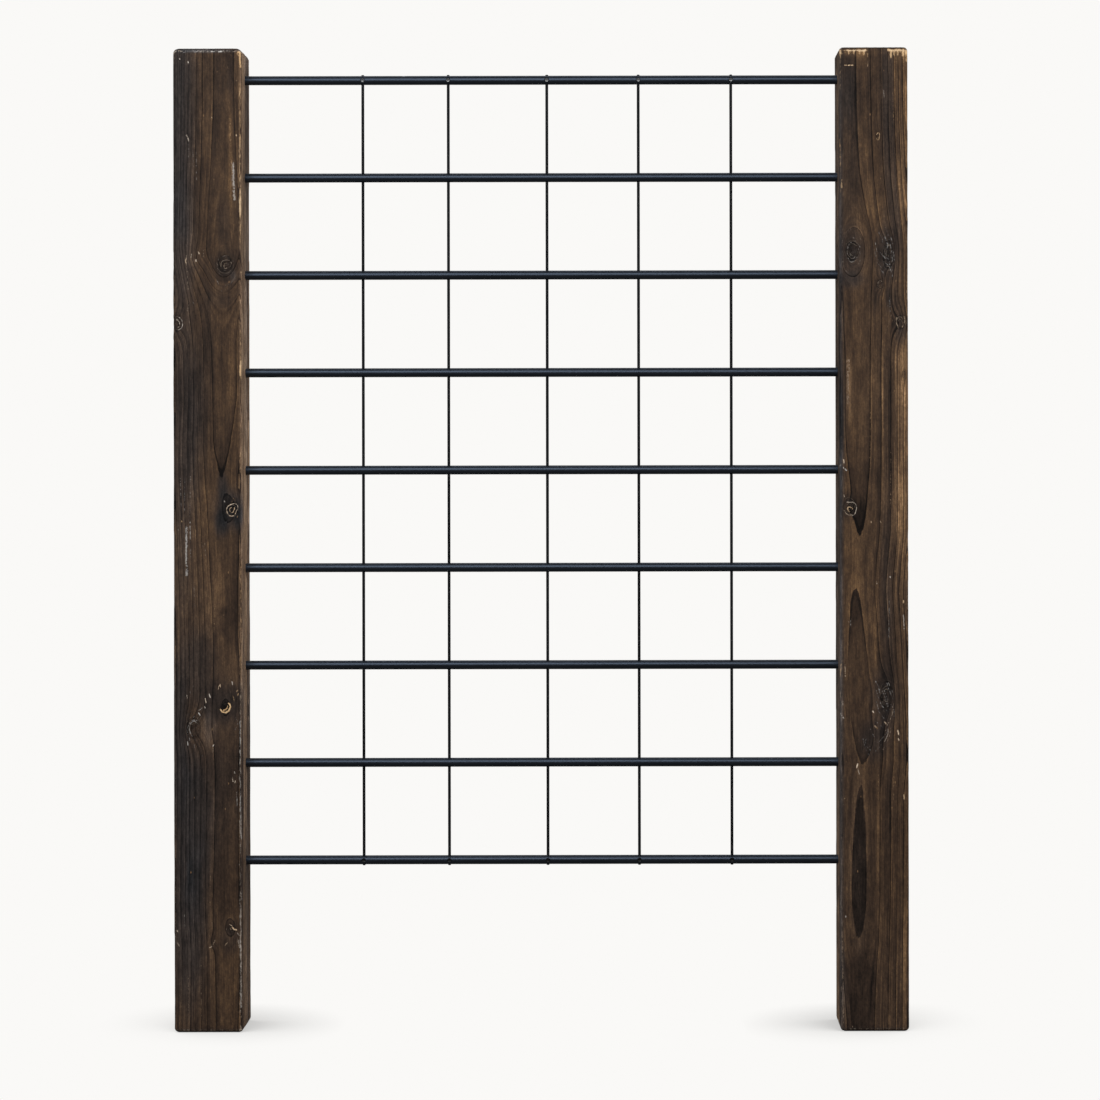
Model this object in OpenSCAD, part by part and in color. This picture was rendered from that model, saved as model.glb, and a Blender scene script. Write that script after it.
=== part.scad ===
// Espalier frame: two square timber posts joined by nine round steel rods,
// with five steel wires threaded down through the rods.
// Millimetres. +Z is up, X runs along the frame, -Y is the front.
// The origin is on the ground, midway between the posts.

/* [Posts] */
// Height of each post
post_h = 1300; // [1250:10:1800]
// Side of the square post section
post_w = 90; // [80:1:120]
// Radius of the eased long edges
edge_r = 4; // [2:0.5:8]
// Width of the bevel around the sawn ends
end_bevel = 3; // [1:0.5:5]
// Clear width between the two posts
clear_w = 790; // [760:5:1200]

/* [Rods] */
// Diameter of the horizontal rods
rod_d = 12; // [11:0.5:16]
// Height from one rod to the next
rod_pitch = 130; // [100:1:140]
// From the top of the posts down to the first rod
top_margin = 38; // [30:1:60]
// Depth of the blind bores that take the rod ends
socket_depth = 50; // [40:1:60]
// How much wider the bores are than the rods
socket_clear = 0.2; // [0.1:0.1:0.6]

/* [Wires] */
// Diameter of the vertical wires
wire_d = 3.5; // [3:0.1:4]
// Diameter of the cross holes that guide the wires through the rods
wire_hole_d = 4; // [3.5:0.1:4.5]
// How far the cut wire ends stand out of the top and bottom rods
wire_proud = 1.2; // [0.5:0.1:5]
// First wire, from the left post's inner face
wire_1_x = 157; // [120:1:190]
// Second wire, from the left post's inner face
wire_2_x = 271; // [240:1:300]
// Third wire, from the left post's inner face
wire_3_x = 402.5; // [370:0.5:440]
// Fourth wire, from the left post's inner face
wire_4_x = 524.5; // [490:0.5:560]
// Fifth wire, from the left post's inner face
wire_5_x = 648; // [610:1:690]

/* [Fixings] */
// Thread diameter of the grub screws that clamp the wire ends
grub_d = 5; // [4:0.5:6]
// Hexagon socket of the grub screws, across flats
grub_key = 2.5; // [2:0.5:3]
// Shank diameter of the lock screws behind the rod ends
lock_d = 4.8; // [4:0.1:5]
// Length of the lock screws
lock_l = 60; // [55:1:70]
// Head diameter of the lock screws
lock_head_d = 9.4; // [8.5:0.1:10]

/* [Hidden] */
$fn = 64;

rod_r = rod_d / 2;
inner_x = clear_w / 2;
post_x = inner_x + post_w / 2;
lock_x = inner_x + socket_depth / 2;
back_y = post_w / 2;
head_sink = 0.4;
head_h = (lock_head_d - lock_d) / 2;
rod_l = clear_w + 2 * socket_depth;
wires = [for (w = [wire_1_x, wire_2_x, wire_3_x, wire_4_x, wire_5_x]) w - inner_x];
locked = [1, 5, 9];
timber = [0.25, 0.19, 0.155];
satin_black = [0.075, 0.078, 0.088];
bright_zinc = [0.66, 0.66, 0.64];

function rod_z(i) = post_h - top_margin - (i - 1) * rod_pitch;
function is_locked(i) = len([for (k = locked) if (k == i) k]) > 0;
function is_end(i) = i == 1 || i == 9;

// A square with round corners
module eased_square(w, r) {
  square([w, w - 2 * r], center = true);
  square([w - 2 * r, w], center = true);
  for (sx = [-1, 1], sy = [-1, 1])
    translate([sx * (w / 2 - r), sy * (w / 2 - r)]) circle(r);
}

// The cutters that bevel the four edges of one sawn end
module end_bevels(w, b) {
  s = b * sqrt(2);
  for (a = [0:90:270])
    rotate([0, 0, a]) translate([w / 2, 0, 0]) rotate([0, 45, 0])
      cube([s, w * 1.5, s], center = true);
}

// The hole that a lock screw needs in the post, from the back face inwards
module lock_hole(side, z) {
  translate([side * lock_x, back_y - head_sink, z]) rotate([90, 0, 0]) {
    cylinder(h = lock_l - 0.5, d = lock_d + 0.2);
    translate([0, 0, -0.01]) cylinder(h = head_h + 0.11, d1 = lock_head_d + 0.24, d2 = lock_d + 0.02);
    translate([0, 0, -2]) cylinder(h = 2.01, d = lock_head_d + 0.24);
  }
}

// One post, side -1 left and +1 right, with a blind bore for each rod
module post(side) {
  color(timber) difference() {
    translate([side * post_x, 0, 0]) difference() {
      linear_extrude(height = post_h) eased_square(post_w, edge_r);
      translate([0, 0, post_h]) end_bevels(post_w, end_bevel);
      end_bevels(post_w, end_bevel);
    }
    for (i = [1:9])
      translate([side * (inner_x - 5), 0, rod_z(i)]) rotate([0, side * 90, 0])
        cylinder(h = socket_depth + 5, d = rod_d + socket_clear);
    for (i = locked) lock_hole(side, rod_z(i));
  }
}

// One rod with bevelled ends, drilled for the wires. The top and bottom rods
// are tapped from the front for the grub screws, and the locked rods are
// cross drilled near both ends.
module rod(i) {
  bevel = 0.8;
  color(satin_black) translate([0, 0, rod_z(i)]) difference() {
    rotate([0, 90, 0]) union() {
      translate([0, 0, -rod_l / 2 + bevel]) cylinder(h = rod_l - 2 * bevel, d = rod_d);
      translate([0, 0, -rod_l / 2]) cylinder(h = bevel, d1 = rod_d - 2 * bevel, d2 = rod_d);
      translate([0, 0, rod_l / 2 - bevel]) cylinder(h = bevel, d1 = rod_d, d2 = rod_d - 2 * bevel);
    }
    for (x = wires) translate([x, 0, -rod_d]) cylinder(h = 2 * rod_d, d = wire_hole_d);
    if (is_end(i))
      for (x = wires) translate([x, 0, 0]) rotate([90, 0, 0]) cylinder(h = rod_d, d = grub_d + 0.1);
    if (is_locked(i))
      for (side = [-1, 1]) translate([side * lock_x, rod_d, 0]) rotate([90, 0, 0])
        cylinder(h = 2 * rod_d, d = lock_d + 0.6);
  }
}

// One straight wire with its ends eased, from below the bottom rod to above the top rod
module wire(i) {
  ease = 0.5;
  z0 = rod_z(9) - rod_r - wire_proud;
  z1 = rod_z(1) + rod_r + wire_proud;
  color(satin_black) translate([wires[i - 1], 0, z0]) {
    translate([0, 0, ease]) cylinder(h = z1 - z0 - 2 * ease, d = wire_d);
    cylinder(h = ease, d1 = wire_d - 2 * ease, d2 = wire_d);
    translate([0, 0, z1 - z0 - ease]) cylinder(h = ease, d1 = wire_d, d2 = wire_d - 2 * ease);
  }
}

// The grub screws of one rod: each sits below the rod's surface and bears on a wire
module grub_screws(i) {
  tip = wire_d / 2 + 0.05;
  l = rod_r - 0.8 - tip;
  color(bright_zinc) for (x = wires)
    translate([x, -tip, rod_z(i)]) rotate([90, 0, 0]) difference() {
      union() {
        cylinder(h = 0.6, d1 = grub_d - 1.2, d2 = grub_d);
        translate([0, 0, 0.6]) cylinder(h = l - 0.6, d = grub_d);
      }
      translate([0, 0, l - 1.8]) cylinder(h = 3, d = grub_key / cos(30), $fn = 6);
    }
}

// The countersunk lock screws of one post: each passes through a rod end
module lock_screws(side) {
  point = 8;
  color(bright_zinc) for (i = locked)
    translate([side * lock_x, back_y - head_sink, rod_z(i)]) rotate([90, 0, 0]) difference() {
      union() {
        cylinder(h = head_h, d1 = lock_head_d, d2 = lock_d);
        translate([0, 0, head_h]) cylinder(h = lock_l - point - head_h, d = lock_d);
        translate([0, 0, lock_l - point]) cylinder(h = point - 1, d1 = lock_d, d2 = 0.8);
      }
      for (a = [0, 90]) rotate([0, 0, a]) translate([-2.4, -0.5, -1]) cube([4.8, 1, 2.6]);
    }
}

post(-1);  // left_post
post(1);  // right_post
rod(1);  // rod_1
rod(2);  // rod_2
rod(3);  // rod_3
rod(4);  // rod_4
rod(5);  // rod_5
rod(6);  // rod_6
rod(7);  // rod_7
rod(8);  // rod_8
rod(9);  // rod_9
wire(1);  // wire_1
wire(2);  // wire_2
wire(3);  // wire_3
wire(4);  // wire_4
wire(5);  // wire_5
grub_screws(1);  // top_grub_screws
grub_screws(9);  // bottom_grub_screws
lock_screws(-1);  // left_lock_screws
lock_screws(1);  // right_lock_screws
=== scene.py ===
"""Looks of the espalier frame: weathered, dark-stained softwood posts, satin black rods and wires, small screws.

Metres in the scene, millimetres in the tables below. +Z is up and -Y is the front.
"""

import math

import bmesh
import bpy
import numpy as np
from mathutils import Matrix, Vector


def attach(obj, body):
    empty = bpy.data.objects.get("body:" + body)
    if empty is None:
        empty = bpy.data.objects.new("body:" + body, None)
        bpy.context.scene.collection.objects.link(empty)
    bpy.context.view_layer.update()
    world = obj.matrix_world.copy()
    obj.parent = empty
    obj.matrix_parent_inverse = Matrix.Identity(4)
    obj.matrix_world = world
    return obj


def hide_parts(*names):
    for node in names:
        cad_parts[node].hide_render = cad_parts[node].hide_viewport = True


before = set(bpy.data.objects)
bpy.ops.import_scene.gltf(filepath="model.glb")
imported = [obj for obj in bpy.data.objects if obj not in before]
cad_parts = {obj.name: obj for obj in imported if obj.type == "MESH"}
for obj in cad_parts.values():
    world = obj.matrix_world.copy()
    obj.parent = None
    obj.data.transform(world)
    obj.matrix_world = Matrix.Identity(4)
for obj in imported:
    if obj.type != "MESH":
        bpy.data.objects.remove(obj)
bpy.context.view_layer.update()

MM = 0.001
POST_H = 1300.0
HALF = 45.0
EDGE_R = 4.0
ROD_R = 6.0
ROD_Z = [1262.0 - 130.0 * i for i in range(9)]
WIRE_X = [-238.0, -124.0, 7.5, 129.5, 253.0]
WIRE_R = 1.75
WIRE_COAT = 0.17  # the wires are drawn this much fuller in radius: a bright ground eats the edges of thin dark lines
LOCK_X = 420.0
LOCKED = (0, 4, 8)
PX = 1.3225  # millimetres to a pixel on the posts' front faces


# ---------------------------------------------------------------- small helpers

_tables = {}


def noise(p, seed):
    """Smooth lattice noise, -1 to 1, one cell to a unit."""
    if seed not in _tables:
        _tables[seed] = np.random.RandomState(seed).uniform(-1, 1, (64, 64, 64))
    t = _tables[seed]
    i = np.floor(p).astype(np.int64)
    f = p - i
    f = f * f * (3 - 2 * f)
    out = np.zeros(len(p))
    for dx in (0, 1):
        wx = f[:, 0] if dx else 1 - f[:, 0]
        for dy in (0, 1):
            wy = f[:, 1] if dy else 1 - f[:, 1]
            for dz in (0, 1):
                wz = f[:, 2] if dz else 1 - f[:, 2]
                out += wx * wy * wz * t[(i[:, 0] + dx) & 63, (i[:, 1] + dy) & 63, (i[:, 2] + dz) & 63]
    return out


def fbm(p, seed, octaves=3):
    out, amp, total = np.zeros(len(p)), 1.0, 0.0
    for k in range(octaves):
        out += amp * noise(p * 2.0 ** k, seed + k)
        total += amp
        amp *= 0.5
    return out / total


def step(a, b, x):
    t = np.clip((x - a) / (b - a), 0, 1)
    return t * t * (3 - 2 * t)


def along(points, w, soft=7.0):
    """A smooth curve through (height, value) points, read at heights w."""
    z = np.arange(-80.0, POST_H + 81.0, 1.0)
    pts = sorted(points)
    v = np.interp(z, [p[0] for p in pts], [p[1] for p in pts])
    k = np.exp(-0.5 * (np.arange(-24, 25) / soft) ** 2)
    v = np.convolve(np.pad(v, 24, mode="edge"), k / k.sum(), mode="valid")
    return np.interp(w, z, v)


def lin(r, g, b, gain=1.0):
    def one(c):
        c /= 255.0
        return c / 12.92 if c <= 0.04045 else ((c + 0.055) / 1.055) ** 2.4
    col = [one(c) * gain for c in (r, g, b)]
    top = max(1.0, max(col) / 0.82)
    return tuple(c / top for c in col) + (1.0,)


def mesh_object(name, verts, faces):
    me = bpy.data.meshes.new(name)
    me.from_pydata([tuple(v) for v in verts], [], [tuple(f) for f in faces])
    me.update()
    ob = bpy.data.objects.new(name, me)
    bpy.context.scene.collection.objects.link(ob)
    return ob


def loft(loops, closed_ends=True):
    """Vertices and faces of loops of equal length, bridged in order and closed with a point at each end."""
    n = len(loops[0])
    verts = np.concatenate(loops)
    faces = []
    idx = np.arange(n)
    nxt = (idx + 1) % n
    for k in range(len(loops) - 1):
        a, b = k * n, (k + 1) * n
        faces.append(np.stack([a + idx, a + nxt, b + nxt, b + idx], 1))
    faces = np.concatenate(faces).tolist()
    if closed_ends:
        c0, c1 = len(verts), len(verts) + 1
        verts = np.concatenate([verts, loops[0].mean(0)[None], loops[-1].mean(0)[None]])
        last = (len(loops) - 1) * n
        for k in range(n):
            faces.append([c0, int(nxt[k]), int(idx[k])])
            faces.append([c1, last + int(idx[k]), last + int(nxt[k])])
    return verts, faces


def turned(profile, sides, axis, origin, radius_at=None, start=0.0):
    """A closed turned solid: profile is (distance along axis, radius) from one end to the other."""
    ax = Vector(axis).normalized()
    e1 = ax.orthogonal().normalized()
    if abs(ax.y) > 0.9:
        e1 = Vector((1, 0, 0))
    elif abs(ax.z) > 0.9:
        e1 = Vector((1, 0, 0))
    elif abs(ax.x) > 0.9:
        e1 = Vector((0, 1, 0))
    e2 = ax.cross(e1)
    ax, e1, e2, origin = (np.array(v, float) for v in (ax, e1, e2, origin))
    th = start + np.arange(sides) * 2 * math.pi / sides
    loops = []
    for s, r in profile:
        rr = np.full(sides, r) if radius_at is None else radius_at(s, r, th)
        loops.append(origin + s * ax + (rr * np.cos(th))[:, None] * e1 + (rr * np.sin(th))[:, None] * e2)
    return loft(loops)


def joined(parts):
    verts, faces, base = [], [], 0
    for v, f in parts:
        verts.append(np.asarray(v))
        faces += [[i + base for i in q] for q in f]
        base += len(v)
    return np.concatenate(verts), faces


def cut(ob, cutters):
    """Takes the cutters, closed solids apart from each other, out of the object."""
    v, f = joined(cutters)
    tool = mesh_object("cutter", v * MM, f)
    m = ob.modifiers.new("cut", "BOOLEAN")
    m.operation = "DIFFERENCE"
    m.solver = "MANIFOLD"
    m.object = tool
    bpy.context.view_layer.update()
    dg = bpy.context.evaluated_depsgraph_get()
    me = bpy.data.meshes.new_from_object(ob.evaluated_get(dg))
    old = ob.data
    ob.modifiers.clear()
    ob.data = me
    me.name = ob.name
    bpy.data.meshes.remove(old)
    bpy.data.objects.remove(tool)


def smooth(ob, angle):
    me = ob.data
    me.polygons.foreach_set("use_smooth", np.ones(len(me.polygons), bool))
    me.set_sharp_from_angle(angle=math.radians(angle))
    me.update()


def put(me, name, values):
    kind = "FLOAT_VECTOR" if values.ndim == 2 else "FLOAT"
    a = me.attributes.new(name, kind, "POINT")
    a.data.foreach_set("vector" if values.ndim == 2 else "value", np.ascontiguousarray(values, np.float32).ravel())


# ---------------------------------------------------------------- the timber

# Each post is cut from a log whose pith runs close behind the front face's middle.
# pith: where the pith lies across the face; depth: how far it lies behind the front face.
# Both are given by height as the grain shows it, y and x in pixels of the 1100 frame.


def up(y):
    return (1030.7 - y) * PX


def ring(x, y, rx, ry, a0=0, a1=360):
    """Points of a roughly round or oval mark, from one angle to the other."""
    n = max(4, int(abs(a1 - a0) / 18))
    out = []
    for k in range(n + 1):
        t = math.radians(a0 + (a1 - a0) * k / n)
        s = 1 + 0.13 * math.sin(2 * t + x) + 0.09 * math.sin(3 * t + y)
        out.append((x + rx * s * math.cos(t), y - ry * s * math.sin(t)))
    return out


LEFT = dict(
    name="left_post", side=-1, mid=207.5, seed=11, edge=14.0, crown=6.0,
    # dark early wood with a sharp edge at one ring: x, y, half width, half height, depth, ring
    fills=[(222, 478, 5, 16, 0.6, 14.0)],
    # how strong that ring's line is, by height
    rim=[(47, 0.6), (250, 0.6), (300, 0.75), (440, 0.8), (478, 0.7), (515, 0.3), (1030, 0.4)],
    # where the rings' lines fade out
    hush=[(222, 314, 17, 34, 1.0)],
    # rings with a tone of their own: radius from, to, y from, to, lighter or darker, cooler or warmer (the cool tone is
    # partly the charcoal stain, partly a painted bluish sheen)
    bands=[(69.0, 140, 50, 235, -0.05, 0.22), (60.0, 65.0, 60, 240, 0.03, 0.0), (65.0, 69.0, 60, 240, -0.03, 0.06)],
    pith=[(47, 224.3), (240, 224.0), (300, 223.5), (398, 224.5), (442, 221.8), (480, 221.3), (560, 224), (680, 226),
          (800, 226), (900, 225), (940, 227), (1030, 226)],
    depth=[(47, 58.4), (110, 58.2), (160, 57.5), (192, 56.7), (215, 56.0), (240, 55.6), (255, 56.8), (264, 58.9), (278, 62.0), (292, 65.2), (305, 68.0),
           (320, 69.5), (340, 70.0), (398, 70.2), (442, 71.1), (460, 71.7), (480, 72.05), (505, 72.5), (560, 72.7),
           (590, 73.2), (640, 73.4), (690, 72.9), (720, 73.2), (770, 73.6), (860, 73.4), (925, 73.0), (950, 73.5),
           (1030, 73.8)],
    rings=[3, 8, 13.5, 19, 25, 30.5, 36.5, 42, 48, 54, 60, 65, 69, 72, 75.3, 78.4, 81.2, 85, 88.4, 91.2, 95, 98.5, 102,
           106, 110, 115, 120, 126, 132],
    # x, y, half width, half height, rise of the rings, spread across, spread along
    knots=[(225.4, 263.5, 7.0, 8.0, 3.1, 13, 19), (177.5, 322.5, 4.4, 8.0, 7.0, 9, 17), (231.8, 508.3, 5.4, 5.8, 2.6, 8, 15),
           (193.0, 727, 6.5, 10.0, 6.0, 12, 18), (224.6, 706.5, 4.0, 5.0, 1.6, 9, 14), (231.5, 926.0, 2.6, 3.2, 2.0, 9, 14)],
    flows=[(197, 256, 3.0, 9, 15), (212, 940, 1.4, 5, 8), (222.6, 612, 1.1, 5, 9)],
    # x, y, half width, half height, lighter or darker, cooler or warmer (the cool tone is partly the charcoal stain,
    # partly a painted bluish sheen)
    tones=[(176, 120, 15, 120, -0.09, 0.38), (184, 420, 15, 110, -0.10, 0.45), (180, 250, 15, 70, -0.06, 0.40), (205, 100, 36, 60, -0.05, 0.0),
           (229, 130, 9, 90, 0.07, 0.0), (230, 105, 5, 36, 0.12, 0.0), (232, 165, 5, 66, 0.08, 0.0), (224, 215, 13, 34, -0.01, 0.0),
           (230.6, 165, 2.4, 48, 0.14, -0.1), (237.6, 118, 1.6, 30, -0.14, 0.0), (221, 150, 5, 60, -0.05, 0.0),
           (226.6, 160, 2.4, 46, -0.18, 0.0), (223, 221, 7, 22, -0.14, 0.1), (211, 80, 3, 24, -0.10, 0.0), (230, 76, 3, 18, -0.12, 0.1),
           (206, 50.4, 33, 2.2, 0.24, 0.85),
           (226, 268, 13, 17, -0.20, 0.15), (218, 298, 12, 10, -0.06, 0.1), (216, 345, 15, 42, -0.15, 0.0),
           (225, 405, 11, 55, -0.06, 0.0), (206, 365, 8, 80, -0.13, 0.1), (198, 415, 8, 62, -0.22, 0.15), (237, 440, 4, 60, 0.06, 0.0),
           (229, 508, 14, 19, -0.30, 0.60), (221, 522, 6, 13, -0.22, 0.60), (222, 484, 5, 14, -0.20, 0.45), (238, 515, 4, 14, -0.16, 0.5),
           (196, 250, 9, 16, 0.10, 0.0), (195, 600, 24, 60, 0.05, 0.05), (232, 600, 10, 60, -0.11, 0.0),
           (218, 600, 7, 36, 0.16, 0.0), (180, 575, 8, 60, 0.06, 0.1), (182.6, 570, 2.4, 34, -0.12, 0.0), (222.6, 611, 4, 4.5, -0.24, 0.0),
           (228, 632, 5, 30, -0.14, 0.0), (213.6, 600, 2.0, 40, 0.14, 0.0),
           (222.6, 629, 4, 5, -0.10, 0.0), (196, 665, 18, 34, -0.10, 0.3), (222, 702, 23, 21, -0.34, 0.3),
           (208.6, 726, 7.8, 18.0, 0.16, 0.25), (233.5, 275, 3.5, 6, 0.14, 0.4),(228, 760, 12, 50, -0.08, 0.0), (178, 740, 10, 80, -0.18, 0.55), (194, 768, 8, 24, -0.13, 0.2),
           (216, 770, 10, 34, -0.15, 0.05), (229, 772, 3, 30, -0.12, 0.0), (189, 850, 4.5, 60, -0.14, 0.1),
           (192, 830, 20, 70, -0.16, 0.50), (187, 930, 18, 90, -0.07, 0.55), (216, 800, 26, 60, -0.09, 0.1), (208, 940, 40, 90, -0.03, 0.0),
           (222, 890, 6, 40, -0.10, 0.0), (230, 935, 11, 16, -0.06, 0.2), (228, 985, 12, 40, 0.08, 0.0)],
    # worn arris on the inner side of the front: y from, y to, strength, grey
    inner=[(49, 66, 1.20, 0.1), (66, 84, 0.55, 0.1), (84, 142, 1.05, 0.1), (142, 192, 1.00, 0.2), (192, 214, 1.55, 0.2),
           (214, 240, 0.90, 0.1), (240, 328, 0.46, 0.1), (328, 360, 0.80, 0.1), (360, 377, 1.40, 0.1), (377, 452, 0.56, 0.2),
           (452, 472, 0.95, 0.2), (472, 560, 0.40, 0.2), (560, 680, 0.62, 0.0), (680, 712, 0.55, 0.6), (712, 760, 0.56, 0.9),
           (760, 820, 0.58, 0.9), (820, 852, 0.56, 0.8), (852, 900, 0.50, 0.8), (900, 1010, 0.54, 0.8), (1010, 1030, 0.5, 0.6)],
    outer=[(49, 64, 0.7, 0.6), (64, 310, 0.14, 0.6), (310, 335, 0.55, 0.6), (335, 1020, 0.16, 0.7)],
    # pale marks: points, half width in mm, strength, grey
    marks=[([(233.4, 163), (233.8, 182), (234.8, 199)], 2.4, 0.72, 0.85), ([(234.0, 166), (234.2, 180), (234.8, 192)], 0.9, 0.80, 1.0),
           ([(230.8, 120), (231.6, 150), (232, 165)], 1.2, 0.46, 0.0), ([(187, 135), (188.6, 137.5), (189.4, 140.5)], 0.6, 0.95, 0.7),
           ([(188.5, 142), (189.6, 150), (189, 157)], 0.5, 0.50, 1.0), ([(197, 152), (196.6, 168), (197.2, 179)], 0.5, 0.46, 0.9),
           ([(193.5, 150), (194, 166)], 0.5, 0.48, 0.9), ([(230.5, 118), (230.8, 140)], 0.8, 0.56, 0.0),
           ([(212.2, 116.4), (212.3, 117.4)], 0.6, 0.9, 0.3), ([(236.7, 134.4), (236.9, 135.6)], 0.7, 1.1, 0.3),
           ([(186.5, 243), (186.8, 262), (188.6, 290)], 0.5, 0.54, 0.5), ([(186.6, 257.4), (185.8, 260), (186.6, 262.4)], 0.5, 0.85, 0.4),
           ([(191.8, 253.6), (191.4, 256.6)], 0.5, 0.85, 0.6),
           ([(199.0, 251.4), (199.6, 253.2)], 0.7, 0.95, 0.5), ([(196.2, 259.2), (196.5, 260.6)], 0.7, 1.0, 0.6),
           ([(204.5, 248), (203.5, 256)], 0.5, 0.50, 0.5), ([(192.8, 300.6), (194.6, 303.4)], 0.6, 0.62, 0.8),
           ([(189.6, 300), (187.6, 310), (189.8, 322)], 0.8, 0.48, 0.5), ([(216.5, 278.5), (219.6, 284.5), (224, 285.8)], 0.45, 0.50, 0.9),
           ([(226, 284.5), (231, 283), (235, 277)], 0.45, 0.50, 0.9), ([(240.7, 271), (241.2, 272.2)], 0.8, 1.1, 0.2),
           ([(186.6, 527), (186.1, 550), (186.6, 574)], 2.2, 0.72, 1.0), ([(186.2, 532), (186.0, 562)], 1.1, 0.88, 1.0), ([(190.4, 475), (190.0, 500), (189.5, 521)], 0.55, 0.50, 0.8),
           ([(190.0, 521), (190.2, 538)], 0.6, 0.74, 0.9), ([(180.4, 474), (180.8, 505)], 0.6, 0.52, 0.9), ([(184.6, 476), (184.2, 520)], 0.6, 0.48, 1.0),
           ([(190.2, 540), (190.4, 556)], 0.6, 0.5, 0.9), ([(213.4, 548), (213.2, 570)], 0.7, 0.40, 0.0), ([(214.4, 600), (213.8, 630)], 0.9, 0.46, 0.0),
           ([(178.2, 521), (178.4, 532)], 0.6, 0.50, 0.7), ([(181.6, 519.6), (181.8, 520.6)], 0.6, 0.8, 0.1),
           ([(204.6, 541), (205.6, 557)], 0.6, 0.50, 0.6), ([(200, 536), (203.5, 548)], 0.5, 0.44, 0.5), ([(193.6, 576), (194.6, 606)], 0.6, 0.46, 0.7),
           ([(220.0, 708.2), (222.0, 710.4), (225.4, 711.0), (228.4, 709.0), (229.8, 705.6), (229.4, 703.0), (228.0, 702.0)], 0.85, 1.25, 0.0),
           ([(222.8, 708.6), (225.0, 708.4), (226.6, 706.6), (227.2, 704.6)], 0.5, 0.95, 0.0),
           ([(217.8, 688), (218.4, 684.4), (219.6, 683.0), (220.0, 686.2)], 0.5, 0.85, 0.35), ([(231.6, 680.5), (232.2, 683.6)], 0.6, 0.95, 0.8),
           ([(236.2, 690.4), (237.4, 688.2), (238.6, 690.8), (237.4, 693.8)], 0.45, 0.75, 0.1), ([(232.8, 694.6), (233.6, 700.6)], 0.55, 0.7, 0.0),
           ([(208.9, 692.8), (209.8, 696.0)], 0.55, 1.05, 0.8), ([(204.8, 697), (205.6, 701.0)], 0.6, 0.95, 0.6), ([(204.2, 705.2), (204.8, 706.2)], 0.6, 0.85, 0.8),
           ([(198.4, 709.0), (201.6, 706.6)], 0.45, 0.75, 0.9), ([(198.2, 711.4), (199.8, 713.8)], 0.65, 1.0, 1.0), ([(192.6, 681), (192.8, 685)], 0.4, 0.5, 0.8),
           ([(186.4, 693.6), (187.0, 696.4)], 0.6, 0.75, 0.7), ([(189.8, 690), (190.4, 699)], 0.5, 0.42, 1.0), ([(192.6, 716.8), (194.6, 714.0)], 0.4, 0.55, 1.0),
           ([(186.0, 714.5), (188.8, 711.5), (191.4, 708.6)], 0.5, 0.50, 1.0), ([(186.2, 731), (188.0, 724), (192.0, 718.4)], 0.6, 0.52, 1.0),
           ([(193.0, 718), (197.6, 719.4), (199.4, 723.6)], 0.5, 0.50, 1.0), ([(189.6, 719.6), (190.6, 727), (189.4, 732)], 0.9, 0.40, 1.0),
           ([(186.4, 729), (188.6, 735), (189.6, 741)], 0.5, 0.56, 1.0), ([(187.0, 740.4), (187.6, 743.6)], 0.6, 0.9, 1.0), ([(191.8, 735), (193.6, 742), (194.4, 747)], 0.45, 0.56, 1.0),
           ([(187.6, 744), (192.6, 758), (196.0, 772)], 0.4, 0.36, 1.0), ([(195, 736), (201, 749), (203.6, 764)], 0.4, 0.36, 1.0), ([(198.4, 726), (200.2, 731)], 0.4, 0.5, 1.0),
           ([(212.2, 744.8), (213.4, 743.2)], 0.6, 0.95, 0.8), ([(212.6, 745), (212.4, 751)], 0.4, 0.6, 0.5),
           ([(235.2, 716), (236.8, 719.4), (237.4, 723)], 0.5, 0.55, 1.0), ([(234.6, 728), (236.4, 725)], 0.4, 0.5, 1.0),
           ([(233.6, 770), (234.2, 771.4)], 0.6, 0.9, 0.8), ([(231.8, 776.4), (232.2, 780), (234.6, 781.0), (235.0, 778.4)], 0.5, 0.85, 0.6),
           ([(239.4, 720), (239.8, 731), (239.8, 741)], 0.7, 0.70, 1.0), ([(239.8, 742), (240.0, 757)], 0.6, 0.55, 1.0),
           ([(239.6, 790), (239.9, 812), (240.4, 838)], 0.8, 0.72, 1.0), ([(236, 790), (236.6, 804)], 0.6, 0.62, 0.9),
           ([(211, 919), (214, 931), (214.6, 938)], 0.45, 0.46, 0.4), ([(214.4, 938), (212, 943)], 0.5, 0.64, 0.4), ([(208.8, 945.8), (211, 944.4)], 0.6, 0.95, 0.5),
           ([(224, 943.6), (227.4, 940)], 0.6, 0.76, 0.3), ([(228.8, 922.4), (230.6, 923.6)], 0.6, 0.85, 0.4),
           ([(231.6, 925.2), (233.4, 927.6), (235.6, 928)], 0.9, 1.0, 0.25), ([(229.4, 926.5), (230.4, 929)], 0.5, 0.65, 0.4),
           ([(239.8, 904), (240.0, 934)], 0.8, 0.68, 0.9), ([(240.0, 950), (240.3, 1006)], 0.9, 0.70, 0.9), ([(240.2, 866), (240.6, 900)], 0.7, 0.58, 0.9),
           ([(236.8, 936), (238.4, 946)], 0.6, 0.72, 0.7), ([(239.4, 938), (239.9, 948)], 0.8, 0.85, 0.9), ([(236.4, 931), (238.8, 934)], 0.5, 0.72, 0.7),
           ([(176.4, 928.4), (176.7, 929.6)], 0.6, 1.0, 0.6), ([(174.6, 934), (175.2, 941)], 0.5, 0.52, 0.8), ([(176.8, 941), (178.6, 944.6)], 0.55, 0.78, 0.6),
           ([(183.6, 912), (184, 925)], 0.45, 0.6, 0.9), ([(209.6, 862), (209.4, 905)], 0.4, 0.5, 0.2),
           ([(187.4, 975), (187.8, 1010)], 0.4, 0.5, 0.5), ([(200.2, 960), (200.6, 1015)], 0.4, 0.5, 0.4),
           ([(180.3, 58), (180.6, 59)], 0.6, 0.95, 0.8), ([(188.7, 61.4), (189.0, 62.4)], 0.7, 1.0, 0.8),
           # the worn top edge
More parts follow.
